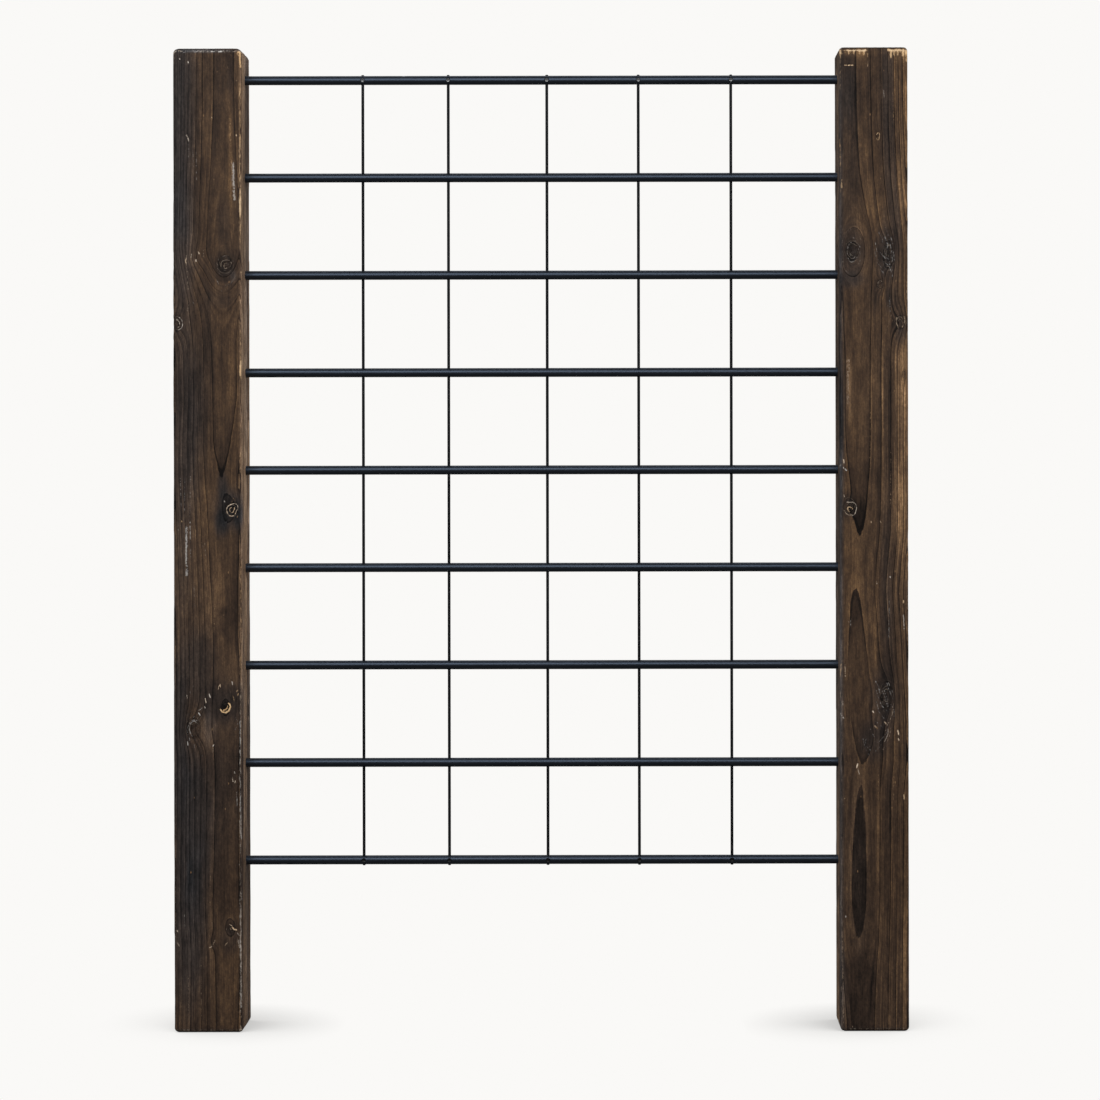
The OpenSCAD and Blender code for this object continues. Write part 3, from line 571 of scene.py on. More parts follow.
        if not len(sel):
            continue
        m = s * np.exp(-(far_from(q, np.stack([u[sel], w[sel]], 1)) / (hw + 0.45)) ** 2)
        better = m > stroke[sel]
        stroke[sel] = np.where(better, m, stroke[sel])
        sgrey[sel] = np.where(better, g, sgrey[sel])
    wear = np.maximum(wear, 0)
    grey = np.clip(grey / wsum, 0, 1)

    # drying checks that start at the pith and show on the sawn ends
    check = np.zeros(len(p))
    at_end = np.clip(np.exp(-((POST_H - w) / 14.0) ** 2) + np.exp(-(w / 14.0) ** 2), 0, 1)
    th = np.arctan2(v - pv, u - pu)
    rr = np.hypot(u - pu, v - pv)
    rng = np.random.RandomState(seed)
    for k in range(9):
        a0 = k * 0.698 + rng.uniform(-0.25, 0.25)
        length = rng.uniform(18, 62)
        half = rng.uniform(0.5, 1.1)
        d = np.abs(np.angle(np.exp(1j * (th - a0 - 0.02 * np.sin(rr / 4.0 + k))))) * rr
        check = np.maximum(check, np.exp(-(d / (half * (1.15 - rr / length).clip(0.05))) ** 2) * (rr < length) * at_end)
    lined = np.interp(y, [a for a, _ in post["rim"]], [b for _, b in post["rim"]])
    return dict(ring=ring, rho=rho, ang=ang, tone=tone, cool_and_sheen=np.clip(cool_and_sheen, 0, 1), wear=wear, grey=grey, arris=arris,
                grain=np.stack([gu, gv, w], 1), check=check, steep=steep, fill=fill, edge=edge, hush=hush, rim=lined,
                mark=stroke, ash=sgrey)


def outline(nf, ns, nb, na, r=EDGE_R):
    """The eased square section: points and outward normals, starting at the front left."""
    flat = HALF - r
    pts, nrm = [], []
    sides = [((-flat, -HALF), (flat, -HALF), nf, (0, -1)), ((HALF, -flat), (HALF, flat), ns, (1, 0)),
             ((flat, HALF), (-flat, HALF), nb, (0, 1)), ((-HALF, flat), (-HALF, -flat), ns, (-1, 0))]
    centres = [(flat, -flat, -90), (flat, flat, 0), (-flat, flat, 90), (-flat, -flat, 180)]
    for (a, b, n, m), (cx, cy, a0) in zip(sides, centres):
        for k in range(n):
            t = k / n
            pts.append((a[0] + (b[0] - a[0]) * t, a[1] + (b[1] - a[1]) * t))
            nrm.append(m)
        for k in range(na):
            th = math.radians(a0 + 90 * k / na)
            pts.append((cx + r * math.cos(th), cy + r * math.sin(th)))
            nrm.append((math.cos(th), math.sin(th)))
    return np.array(pts), np.array(nrm)


def easing(radius, more):
    """The rounding of a sawn end: inset, distance from the end, tilt of the surface, radius of the long edges there."""
    out = []
    for deg in (0, 15, 30, 45, 60, 75, 90):
        a = math.radians(deg)
        d = radius * (1 - math.cos(a))
        out.append((radius * (1 - math.sin(a)), d, 90 - deg, EDGE_R + more * (1 - d / radius)))
    return out


def strokes(post):
    """The pale marks as (points in mm, half width, strength, grey)."""
    out = []
    for pts, hw, s, g in post["marks"]:
        out.append((np.array([((px - post["mid"]) * PX, up(py)) for px, py in pts]), hw, s, g))
    return out


def far_from(q, pt):
    """Distance of points pt from the line through the points q."""
    best = np.full(len(pt), 1e9)
    for a, b in zip(q[:-1], q[1:]):
        ab = b - a
        t = np.clip(((pt - a) @ ab) / max(ab @ ab, 1e-9), 0, 1)
        best = np.minimum(best, np.linalg.norm(pt - a - t[:, None] * ab, axis=1))
    return best


def refine(ob, post, reach, cuts):
    """Splits the front face's mesh more finely along the pale marks."""
    me = ob.data
    co = np.zeros(len(me.vertices) * 3, np.float32)
    me.vertices.foreach_get("co", co)
    co = co.reshape(-1, 3) / MM
    ed = np.zeros(len(me.edges) * 2, np.int32)
    me.edges.foreach_get("vertices", ed)
    ed = ed.reshape(-1, 2)
    flat = (co[:, 1] < -HALF + 0.01) & (co[:, 2] > 10) & (co[:, 2] < POST_H - 10)
    mid = 0.5 * (co[ed[:, 0]] + co[ed[:, 1]])[:, [0, 2]]
    keep = np.zeros(len(ed), bool)
    ok = flat[ed[:, 0]] & flat[ed[:, 1]]
    for q, hw, s, g in strokes(post):
        lo, hi = q.min(0) - reach, q.max(0) + reach
        sel = np.where(ok & (mid > lo).all(1) & (mid < hi).all(1))[0]
        if len(sel):
            keep[sel] |= far_from(q, mid[sel]) < reach
    bm = bmesh.new()
    bm.from_mesh(me)
    bm.edges.ensure_lookup_table()
    bmesh.ops.subdivide_edges(bm, edges=[bm.edges[int(k)] for k in np.where(keep)[0]], cuts=cuts, use_grid_fill=True)
    bm.to_mesh(me)
    bm.free()
    me.update()


def heights(post):
    """Rows up the post, closer together where knots and marks are."""
    z = np.arange(5.6, POST_H - 7.0, 0.25)
    dens = np.full(len(z), 1 / 4.7)
    for _, _, h, _, ry, _, _, _ in all_knots(post)[: len(post["knots"])]:
        dens = np.maximum(dens, (1 / 2.1) * np.exp(-(np.abs(z - h) / (ry * 1.6 + 12)) ** 6))
    dens = np.maximum(dens, (1 / 1.5) * step(1268, 1276, z))
    c = np.cumsum(dens) * 0.25
    n = int(c[-1])
    return np.interp(np.linspace(c[0], c[-1], n), c, z)


def make_post(post, material):
    name, side = post["name"], post["side"]
    xc = side * 440.0
    counts = (72, 32, 26, 6)
    top, bottom = easing(post["crown"], post["crown"] - 2.2), easing(4.6, 2.4)
    rows = [(e, d, -t, r) for e, d, t, r in bottom] + [(0.0, z, 0.0, EDGE_R) for z in heights(post)]
    rows += [(e, POST_H - d, t, r) for e, d, t, r in top[::-1]]
    loops, normals = [], []
    scales = [0.035, 0.1, 0.16, 0.22, 0.28, 0.34, 0.40, 0.46, 0.52, 0.58, 0.64, 0.70, 0.76, 0.82, 0.88, 0.94]

    def cap(first, z, order):
        prof, nrm = outline(*counts, r=first[3])
        for s in order:
            loops.append(np.column_stack([(prof - nrm * first[0]) * s, np.full(len(prof), z)]))
            normals.append(np.tile((0.0, 0.0, 1.0 if z else -1.0), (len(prof), 1)))

    cap(bottom[0], 0.0, scales)
    for e, z, t, r in rows:
        prof, nrm = outline(*counts, r=r)
        loops.append(np.column_stack([prof - nrm * e, np.full(len(prof), z)]))
        c, s = math.cos(math.radians(t)), math.sin(math.radians(t))
        normals.append(np.column_stack([nrm * c, np.full(len(prof), s)]))
    cap(top[0], POST_H, scales[::-1])
    verts, faces = loft(loops)
    nv = np.concatenate(normals + [np.array([[0, 0, -1.0], [0, 0, 1.0]])])
    ob = mesh_object(name, verts * MM, faces)
    refine(ob, post, 2.4, 2)
    co = np.zeros(len(ob.data.vertices) * 3, np.float32)
    ob.data.vertices.foreach_get("co", co)
    verts = co.reshape(-1, 3).astype(float) / MM
    nv = np.concatenate([nv, np.tile((0.0, -1.0, 0.0), (len(verts) - len(nv), 1))])

    f = timber(post, verts)
    frac = f["ring"] - np.floor(f["ring"])
    late = step(0.45, 0.92, frac) * (1 - step(0.97, 1.0, frac))
    u, v, w = verts.T
    seed = post["seed"]
    h = -0.30 * (1 - late) - 0.14 * (0.5 + 0.5 * noise(np.stack([f["grain"][:, 0] / 2.6, f["grain"][:, 1] / 2.6, w / 70], 1), seed + 20))
    h -= 0.28 * (0.5 + 0.5 * noise(np.stack([u / 46, v / 46, w / 120], 1), seed + 21))
    inside = 1 - step(0.85, 1.1, f["rho"])
    groove = np.exp(-((f["rho"] - 1.02) / 0.14) ** 2)
    swirl = 0.5 + 0.5 * np.sin(f["rho"] * 15 + 1.3 * noise(np.stack([u / 4, v / 4, w / 4], 1), seed + 22))
    split = np.exp(-((np.sin(f["ang"] - 0.5) * f["rho"]) / 0.10) ** 2) * inside
    h += inside * (0.24 - 0.28 * swirl) - 0.45 * groove - 0.7 * split
    chip = np.clip(fbm(np.stack([u / 9, v / 9, w / 26], 1), seed + 23) * 1.4 + 0.1, 0, 1)
    h -= f["arris"] * (0.25 + 0.75 * chip + 0.45 * np.clip(f["wear"], 0, 1.2))
    h -= 0.32 * np.clip(np.where(f["arris"] > 0.3, 0, np.maximum(f["wear"], f["mark"])), 0, 1.1)
    h -= 1.5 * f["check"]
    h += 0.62 * (1 - np.abs(nv[:, 2]))
    ends = np.abs(nv[:, 2]) > 0.99
    saw = 0.10 * (0.5 + 0.5 * np.sin((u * 0.94 + v * 0.34) * 2.1 + 2 * noise(np.stack([u / 18, v / 18, w * 0], 1), seed + 24)))
    h = np.where(ends, -0.12 * (1 - late) - saw - 1.3 * f["check"], h)
    h = np.where(ends & (w < 3.0), np.minimum(0, h + 0.12) * 0.6, h)
    h = np.clip(h, -2.2, 0.6)
    verts = verts + nv * h[:, None]
    verts[:, 2] = np.clip(verts[:, 2], 0.0, POST_H)

    ob.data.vertices.foreach_set("co", np.ascontiguousarray((verts + [xc, 0, 0]) * MM, np.float32).ravel())
    ob.data.update()
    bores = [turned([(0, 6.35), (4.75, 6.35), (5.6, 6.1), (30, 6.1), (55, 6.1)], 56, (side, 0, 0), (side * 390.0, 0, z)) for z in ROD_Z]
    cut(ob, bores)
    holes = [turned([(-3.0, 4.95), (0.0, 4.87), (2.5, 2.5), (30, 2.5), (59.5, 2.5)], 48, (0, -1, 0), (side * LOCK_X, 44.6, ROD_Z[i])) for i in LOCKED]
    cut(ob, holes)

    me = ob.data
    co = np.zeros(len(me.vertices) * 3, np.float32)
    me.vertices.foreach_get("co", co)
    p = co.reshape(-1, 3).astype(float) / MM - [xc, 0, 0]
    p[:, 1] = np.where((p[:, 1] < -HALF + 1.6) & (np.abs(p[:, 0]) < HALF - EDGE_R + 0.5), -HALF, p[:, 1])
    f = timber(post, p)
    put(me, "hush", f["hush"])
    put(me, "rim", f["rim"])
    put(me, "ring", f["ring"])
    put(me, "knot", np.minimum(f["rho"], 6.0))
    put(me, "tone", f["tone"])
    put(me, "cool_and_sheen", f["cool_and_sheen"])
    put(me, "wear", f["wear"])
    put(me, "grey", f["grey"])
    put(me, "mark", f["mark"])
    put(me, "ash", f["ash"])
    put(me, "check", f["check"])
    put(me, "steep", f["steep"])
    put(me, "fill", f["fill"])
    put(me, "edge", np.clip(f["edge"], -3, 3))
    put(me, "grain", f["grain"])
    smooth(ob, 50)
    me.materials.clear()
    me.materials.append(material)
    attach(ob, "root")
    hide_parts(name)
    return ob


# ---------------------------------------------------------------- materials


class Graph:
    """A short way to write a material's nodes."""

    def __init__(self, name):
        self.mat = bpy.data.materials.new(name)
        self.mat.use_nodes = True
        self.t = self.mat.node_tree
        self.t.nodes.clear()
        self.out = self.t.nodes.new("ShaderNodeOutputMaterial")
        self.bsdf = self.t.nodes.new("ShaderNodeBsdfPrincipled")
        self.t.links.new(self.bsdf.outputs[0], self.out.inputs[0])

    def feed(self, value, socket):
        if isinstance(value, bpy.types.NodeSocket):
            self.t.links.new(value, socket)
        else:
            socket.default_value = value

    def math(self, op, a, b=None, c=None, clamp=False):
        n = self.t.nodes.new("ShaderNodeMath")
        n.operation = op
        n.use_clamp = clamp
        for k, v in enumerate((a, b, c)):
            if v is not None:
                self.feed(v, n.inputs[k])
        return n.outputs[0]

    def add(self, *terms):
        out = terms[0]
        for t in terms[1:]:
            out = self.math("ADD", out, t)
        return out

    def mul(self, a, b):
        return self.math("MULTIPLY", a, b)

    def centred(self, a, gain):
        """(a - 0.5) * gain"""
        return self.math("MULTIPLY_ADD", a, gain, -0.5 * gain)

    def attr(self, name):
        n = self.t.nodes.new("ShaderNodeAttribute")
        n.attribute_name = name
        return n

    def scaled(self, vec, s):
        n = self.t.nodes.new("ShaderNodeVectorMath")
        n.operation = "MULTIPLY"
        self.feed(vec, n.inputs[0])
        n.inputs[1].default_value = s
        return n.outputs[0]

    def xyz(self, x, y, z):
        n = self.t.nodes.new("ShaderNodeCombineXYZ")
        for k, v in enumerate((x, y, z)):
            self.feed(v, n.inputs[k])
        return n.outputs[0]

    def split(self, vec):
        n = self.t.nodes.new("ShaderNodeSeparateXYZ")
        self.feed(vec, n.inputs[0])
        return n.outputs

    def noise(self, vec, scale=1.0, detail=2.0, rough=0.55, distort=0.0):
        n = self.t.nodes.new("ShaderNodeTexNoise")
        self.feed(vec, n.inputs["Vector"])
        n.inputs["Scale"].default_value = scale
        n.inputs["Detail"].default_value = detail
        n.inputs["Roughness"].default_value = rough
        n.inputs["Distortion"].default_value = distort
        return n.outputs[0]

    def cells(self, vec, scale=1.0):
        n = self.t.nodes.new("ShaderNodeTexVoronoi")
        self.feed(vec, n.inputs["Vector"])
        n.inputs["Scale"].default_value = scale
        return n.outputs["Distance"], n.outputs["Color"]

    def white(self, w):
        n = self.t.nodes.new("ShaderNodeTexWhiteNoise")
        n.noise_dimensions = "1D"
        self.feed(w, n.inputs["W"])
        return n.outputs["Value"]

    def span(self, v, a, b, c=0.0, d=1.0, kind="SMOOTHSTEP"):
        n = self.t.nodes.new("ShaderNodeMapRange")
        n.interpolation_type = kind
        self.feed(v, n.inputs["Value"])
        for k, x in zip(("From Min", "From Max", "To Min", "To Max"), (a, b, c, d)):
            self.feed(x, n.inputs[k])
        return n.outputs[0]

    def ramp(self, v, stops, kind="LINEAR"):
        n = self.t.nodes.new("ShaderNodeValToRGB")
        r = n.color_ramp
        r.interpolation = kind
        while len(r.elements) < len(stops):
            r.elements.new(0.5)
        for e, (pos, col) in zip(r.elements, stops):
            e.position = pos
            e.color = col if isinstance(col, tuple) else (col, col, col, 1)
        self.feed(v, n.inputs[0])
        return n.outputs[0]

    def mix(self, f, a, b, kind="MIX"):
        n = self.t.nodes.new("ShaderNodeMix")
        n.data_type = "RGBA"
        n.blend_type = kind
        n.clamp_factor = True
        self.feed(f, n.inputs[0])
        self.feed(a, n.inputs[6])
        self.feed(b, n.inputs[7])
        return n.outputs[2]

    def grey(self, col):
        n = self.t.nodes.new("ShaderNodeRGBToBW")
        self.feed(col, n.inputs[0])
        return n.outputs[0]

    def bump(self, height, distance, normal=None, strength=1.0):
        n = self.t.nodes.new("ShaderNodeBump")
        n.inputs["Strength"].default_value = strength
        n.inputs["Distance"].default_value = distance
        self.feed(height, n.inputs["Height"])
        if normal is not None:
            self.feed(normal, n.inputs["Normal"])
        return n.outputs[0]

    def place(self):
        n = self.t.nodes.new("ShaderNodeTexCoord")
        return n.outputs["Object"]

    def set(self, **kw):
        for k, v in kw.items():
            self.feed(v, self.bsdf.inputs[k.replace("_", " ")])
        return self.mat


GAIN = 1.46  # from a seen colour to the albedo that gives it under this light


def timber_material():
    g = Graph("stained_timber")
    grain = g.attr("grain").outputs["Vector"]
    ring = g.attr("ring").outputs["Fac"]
    knot = g.attr("knot").outputs["Fac"]
    tone = g.attr("tone").outputs["Fac"]
    cool_and_sheen = g.attr("cool_and_sheen").outputs["Fac"]
    wear = g.attr("wear").outputs["Fac"]
    grey = g.attr("grey").outputs["Fac"]
    check = g.attr("check").outputs["Fac"]
    steep = g.attr("steep").outputs["Fac"]
    fill = g.attr("fill").outputs["Fac"]
    brink = g.attr("edge").outputs["Fac"]
    gx, gy, gz = g.split(grain)

    fibre = g.noise(g.scaled(grain, (0.40, 0.40, 0.011)), detail=3, rough=0.66)
    fine = g.noise(g.scaled(grain, (0.80, 0.80, 0.045)), detail=3, rough=0.70)
    grit = g.noise(g.scaled(grain, (0.50, 0.50, 0.26)), detail=3, rough=0.78)
    mottle = g.noise(g.scaled(grain, (0.11, 0.11, 0.040)), detail=3, rough=0.60)
    blotch = g.noise(g.scaled(grain, (0.03, 0.03, 0.008)), detail=3)

    # growth rings: a thin dark line on the outer edge of each, a tone of its own, fine lines along it
    rr = g.add(ring, g.centred(fibre, 0.05))
    part = g.math("FRACT", rr)
    wide = g.math("MULTIPLY_ADD", steep, 0.17, 0.055)
    dark = g.span(part, g.math("SUBTRACT", 1.0, wide), g.math("MULTIPLY_ADD", wide, -0.35, 1.0))
    quiet = g.math("SUBTRACT", 1.0, g.attr("hush").outputs["Fac"])
    shade = g.mul(g.span(part, 0.42, 1.0), quiet)
    after = g.mul(g.span(part, 0.0, 0.18, 1.0, 0.0), quiet)
    count = g.math("FLOOR", rr)
    own = g.white(count)
    bold = g.math("MULTIPLY_ADD", g.white(g.add(count, 37.5)), 0.70, 0.40)
    fade = g.noise(g.xyz(g.mul(ring, 0.8), g.mul(gz, 0.006), g.mul(gy, 0.01)), detail=2)
    rim = g.mul(g.span(brink, -0.60, -0.50), g.span(brink, 0.04, 0.06, 1.0, 0.0))
    bold = g.mul(g.mul(bold, g.span(fade, 0.28, 0.58, 0.40, 1.0)), g.math("SUBTRACT", 1.0, rim))
    bold = g.add(bold, g.mul(rim, g.attr("rim").outputs["Fac"]))
    line = g.mul(g.mul(dark, bold), quiet)
    lines = g.noise(g.xyz(g.mul(ring, 3.1), g.mul(gz, 0.0030), g.mul(gy, 0.004)), detail=2, rough=0.6)
    hair = g.noise(g.xyz(g.mul(ring, 8.0), g.mul(gz, 0.0065), g.mul(gx, 0.02)), detail=3, rough=0.65)
    inside = g.mul(fill, g.span(g.add(brink, g.centred(grit, 0.06)), -0.035, 0.015, 1.0, 0.0))

    # knots: a dark body with broken pale rings in it, and a dark surround
    kk = g.add(knot, g.centred(g.noise(g.scaled(grain, (0.16, 0.16, 0.16)), detail=3), 0.55))
    body = g.span(kk, 0.90, 1.10, 1.0, 0.0)
    halo = g.span(kk, 0.9, 2.3, 1.0, 0.0)
    edge = g.mul(g.span(kk, 0.86, 1.00), g.span(kk, 1.00, 1.22, 1.0, 0.0))
    turns = g.math("SINE", g.add(g.mul(kk, 17.0), g.centred(grit, 3.0)))
    scrib = g.mul(g.span(turns, 0.80, 0.98), g.mul(g.span(g.noise(g.scaled(grain, (0.21, 0.21, 0.21)), detail=2), 0.47, 0.60), g.span(kk, 1.12, 1.30, 1.0, 0.0)))

    value = g.add(
        0.49,
        g.mul(tone, 0.72),
        g.centred(own, 0.06),
        g.centred(lines, 0.28),
        g.mul(g.centred(hair, 1.0), g.math("MULTIPLY_ADD", steep, 0.85, 0.16)),
        g.centred(fibre, 0.34),
        g.centred(fine, 0.32),
        g.centred(grit, 0.46),
        g.centred(mottle, 0.40),
        g.centred(blotch, 0.24),
        g.mul(shade, -0.11),
        g.mul(after, 0.10),
        g.mul(line, -0.34),
        g.mul(inside, -0.19),
        g.mul(halo, -0.06),
        g.mul(edge, -0.12),
        g.mul(g.mul(body, g.span(turns, -1, 1)), -0.10),
        g.mul(check, -0.5),
    )
    stain = g.ramp(value, [
        (0.00, lin(18, 14, 12, GAIN)), (0.20, lin(36, 28, 23, GAIN)), (0.36, lin(51, 39, 31, GAIN)), (0.50, lin(67, 51, 38, GAIN)),
        (0.62, lin(84, 64, 46, GAIN)), (0.76, lin(114, 87, 59, GAIN)), (0.90, lin(160, 124, 86, GAIN)), (1.00, lin(196, 160, 116, GAIN))])
    # a greyer, bluer copy of the stain, mixed in by the cool tone: partly the charcoal stain, partly a painted bluish
    # sheen on the wood
    flat = g.grey(stain)
    sep = g.t.nodes.new("ShaderNodeCombineColor")
    g.feed(g.mul(flat, 0.93), sep.inputs[0])
    g.feed(g.mul(flat, 0.985), sep.inputs[1])
    g.feed(g.mul(flat, 1.10), sep.inputs[2])
    stain = g.mix(g.mul(cool_and_sheen, 0.85), stain, sep.outputs[0])

    # wear: stain rubbed through to pale wood on arrises, scrapes and specks
    rub = g.noise(g.scaled(grain, (0.55, 0.55, 0.13)), detail=4, rough=0.68)
    worn = g.span(g.add(wear, g.centred(rub, 2.9), g.centred(grit, 2.1)), 0.50, 0.95)
    dist, cell = g.cells(g.scaled(grain, (0.22, 0.22, 0.09)))
    pick = g.t.nodes.new("ShaderNodeSeparateColor")
    g.feed(cell, pick.inputs[0])
    near = g.math("SUBTRACT", 0.985, g.mul(g.math("MAXIMUM", g.span(kk, 1.0, 2.2, 1.0, 0.0), g.mul(wear, 0.8)), 0.10))
    speck = g.mul(g.span(dist, 0.10, 0.19, 1.0, 0.0), g.math("GREATER_THAN", pick.outputs[0], near))
    pale = g.ramp(g.add(g.mul(wear, 0.55), g.centred(rub, 1.2), 0.12), [
        (0.0, lin(96, 74, 54, GAIN)), (0.35, lin(138, 106, 74, GAIN)), (0.7, lin(205, 170, 126, GAIN)), (1.0, lin(236, 212, 172, GAIN))])
    ash = g.ramp(g.add(g.mul(wear, 0.55), g.centred(rub, 1.2), 0.12), [
        (0.0, lin(84, 82, 82, GAIN)), (0.4, lin(120, 116, 112, GAIN)), (0.75, lin(178, 172, 165, GAIN)), (1.0, lin(226, 220, 212, GAIN))])
    bare = g.mix(grey, pale, ash)
    through = g.math("POWER", g.math("MAXIMUM", wear, 0.02), 1.4, clamp=True)
    colour = g.mix(g.math("MAXIMUM", g.mul(g.mul(worn, 0.94), through), g.mul(speck, 0.8), clamp=True), stain, bare)
    colour = g.mix(g.mul(scrib, 0.30), colour, lin(150, 136, 120, GAIN))

    # scratches and chips, broken up along the grain
    mark = g.attr("mark").outputs["Fac"]
    snag = g.noise(g.scaled(grain, (0.75, 0.75, 0.40)), detail=2, rough=0.6)
    gap = g.noise(g.scaled(grain, (0.20, 0.20, 0.17)), detail=2, rough=0.6)
    scored = g.span(g.add(mark, g.centred(snag, 1.5), g.centred(gap, 1.2)), 0.40, 0.80)
    bright = g.add(g.mul(mark, 0.58), g.centred(snag, 0.6), 0.14)
    cream = g.ramp(bright, [
        (0.0, lin(96, 74, 54, GAIN)), (0.35, lin(138, 106, 74, GAIN)), (0.7, lin(205, 170, 126, GAIN)), (1.0, lin(236, 212, 172, GAIN))])
    silver = g.ramp(bright, [
        (0.0, lin(84, 82, 82, GAIN)), (0.4, lin(124, 121, 119, GAIN)), (0.75, lin(186, 181, 175, GAIN)), (1.0, lin(230, 225, 218, GAIN))])
    scratch = g.mix(g.attr("ash").outputs["Fac"], cream, silver)
    deep = g.mul(scored, g.math("POWER", g.math("MAXIMUM", mark, 0.02), 1.2, clamp=True))
    colour = g.mix(deep, colour, scratch)

    relief = g.add(g.mul(fibre, 0.45), g.mul(fine, 0.40), g.mul(hair, 0.30), g.mul(shade, 0.32), g.mul(grit, 0.40), g.mul(line, -0.35),
                   g.mul(inside, -0.5), g.mul(worn, -0.25), g.mul(deep, -0.2), g.mul(scrib, 0.25))
    g.set(
        Base_Color=colour,
        Roughness=g.add(0.54, g.centred(fibre, 0.30), g.mul(worn, 0.16), g.mul(shade, -0.05)),
        Normal=g.bump(relief, 0.0010),
        Specular_IOR_Level=0.09,
    )
    return g.mat


def rod_material(name, base, rough, wear_gain, shine, tint):
    """Satin black coating, blue in its shine, rubbed in spots and dull where it meets the timber."""
    g = Graph(name)
    p = g.place()
    haze = g.noise(g.scaled(p, (9, 60, 60)), detail=3, rough=0.6)
    dust = g.noise(g.scaled(p, (380, 700, 700)), detail=3, rough=0.7)
    rub = g.attr("rub").outputs["Fac"]
    soil = g.attr("soil").outputs["Fac"]
    chip = g.span(g.add(g.mul(rub, wear_gain), g.centred(dust, 1.2)), 0.55, 0.85)
    body = g.ramp(haze, [(0.3, tuple(c * 0.75 for c in base) + (1,)), (0.7, tuple(c * 1.35 for c in base) + (1,))])
    body = g.mix(g.mul(chip, 0.8), body, (0.34, 0.36, 0.39, 1))
    g.set(
        Base_Color=body,
        Roughness=g.add(rough, g.centred(haze, 0.10), g.mul(chip, 0.1), g.mul(soil, 0.12)),
        Specular_IOR_Level=shine,
        Specular_Tint=tint,
    )
    return g.mat


def screw_material():
    g = Graph("zinc_screw")
    p = g.place()
    spin = g.noise(g.scaled(p, (2600, 700, 2600)), detail=2)
    stain = g.noise(g.scaled(p, (160, 160, 160)), detail=4, rough=0.65)
    # the rub attribute darkens the zinc; on the grub screws it leaves a bright lower rim, a painted glint
    dark = g.attr("rub").outputs["Fac"]
    col = g.ramp(stain, [(0.30, (0.30, 0.30, 0.29, 1)), (0.52, (0.52, 0.52, 0.50, 1)), (0.72, (0.66, 0.65, 0.62, 1))])
    col = g.mix(dark, col, (0.045, 0.046, 0.05, 1))
    g.set(
        Base_Color=col,
        Roughness=g.add(0.30, g.centred(stain, 0.35), g.centred(spin, 0.15)),
        Metallic=1.0,
        Normal=g.bump(spin, 0.00004),
    )
    return g.mat


# ---------------------------------------------------------------- rods, wires and screws


def finish_piece(ob, material, node, angle=40, rub=None):
    smooth(ob, angle)
    if rub is not None:
        me = ob.data
        co = np.zeros(len(me.vertices) * 3, np.float32)
        me.vertices.foreach_get("co", co)
        co = co.reshape(-1, 3).astype(float) / MM
        put(me, "rub", rub(co))
        put(me, "soil", np.exp(-(np.maximum(394.0 - np.abs(co[:, 0]), 0) / 6.0) ** 2))
    ob.data.materials.clear()
    ob.data.materials.append(material)
    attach(ob, "root")
    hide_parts(node)
    return ob


def make_rod(i, material):
    z = ROD_Z[i]
    ends = [(0.0, 4.6), (0.12, 5.1), (0.38, 5.55), (0.8, 5.85), (1.3, 6.0)]
    rows = set(np.arange(-440.0, 440.1, 20.0))
    for x in (378.0, 382.0, 385.0, 388.0, 391.0, 394.0):
        rows |= {x, -x}
    for x in WIRE_X:
        rows |= {x - 6, x - 3.4, x + 3.4, x + 6}
    for x in (-LOCK_X, LOCK_X):
        rows |= {x - 4, x + 4}
    if i == 0:
        rows |= set(np.arange(-189.0, -176.0, 1.0))
    rows = sorted(r for r in rows if -443 < r < 443)
    prof = [(s, r) for s, r in ends] + [(445 + x, ROD_R) for x in rows] + [(890 - s, r) for s, r in ends[::-1]]
    v, f = turned(prof, 56, (1, 0, 0), (-445.0, 0, z))
    ob = mesh_object("rod_%d" % (i + 1), v * MM, f)
    down = [turned([(-9, 2.5), (-6.1, 2.5), (-5.45, 2.05), (0, 2.0), (5.45, 2.05), (6.1, 2.5), (9, 2.5)], 32, (0, 0, 1), (x, 0, z)) for x in WIRE_X]
    if i in LOCKED:
        down += [turned([(-9, 2.7), (0, 2.7), (9, 2.7)], 28, (0, 1, 0), (s * LOCK_X, 0, z)) for s in (-1, 1)]
    cut(ob, down)
    if i in (0, 8):
        cut(ob, [turned([(0.0, 2.55), (4.9, 2.55), (5.7, 2.95), (9, 2.95)], 36, (0, -1, 0), (x, 0, z)) for x in WIRE_X])

    def rub(p):
        out = np.zeros(len(p))
        if i == 0:
            out += 1.0 * np.exp(-((p[:, 0] + 183.0) / 3.4) ** 2 - ((p[:, 2] - z - 5.6) / 1.5) ** 2)
        for x in WIRE_X:
            out += 0.22 * np.exp(-((p[:, 0] - x) / 3.2) ** 2)
        return out

    return finish_piece(ob, material, "rod_%d" % (i + 1), 38, rub)


def make_wire(i, material):
    x = WIRE_X[i]
    z0, z1 = ROD_Z[8] - ROD_R - 1.2, ROD_Z[0] + ROD_R + 1.2
    length = z1 - z0
    full = WIRE_R + WIRE_COAT
    ends = [(0.0, 1.05), (0.10, 1.40), (0.30, 1.72), (0.65, full)]
    prof = ends + [(s, full) for s in np.arange(6.0, length - 5.0, 12.0)] + [(length - s, r) for s, r in ends[::-1]]
    v, f = turned(prof, 24, (0, 0, 1), (x, 0, z0))
    ob = mesh_object("wire_%d" % (i + 1), v * MM, f)

    def rub(p):
        return np.exp(-((p[:, 2] - z1) / 1.2) ** 2) * 0.6 + np.exp(-((p[:, 2] - z0) / 1.2) ** 2) * 0.6

    return finish_piece(ob, material, "wire_%d" % (i + 1), 45, rub)


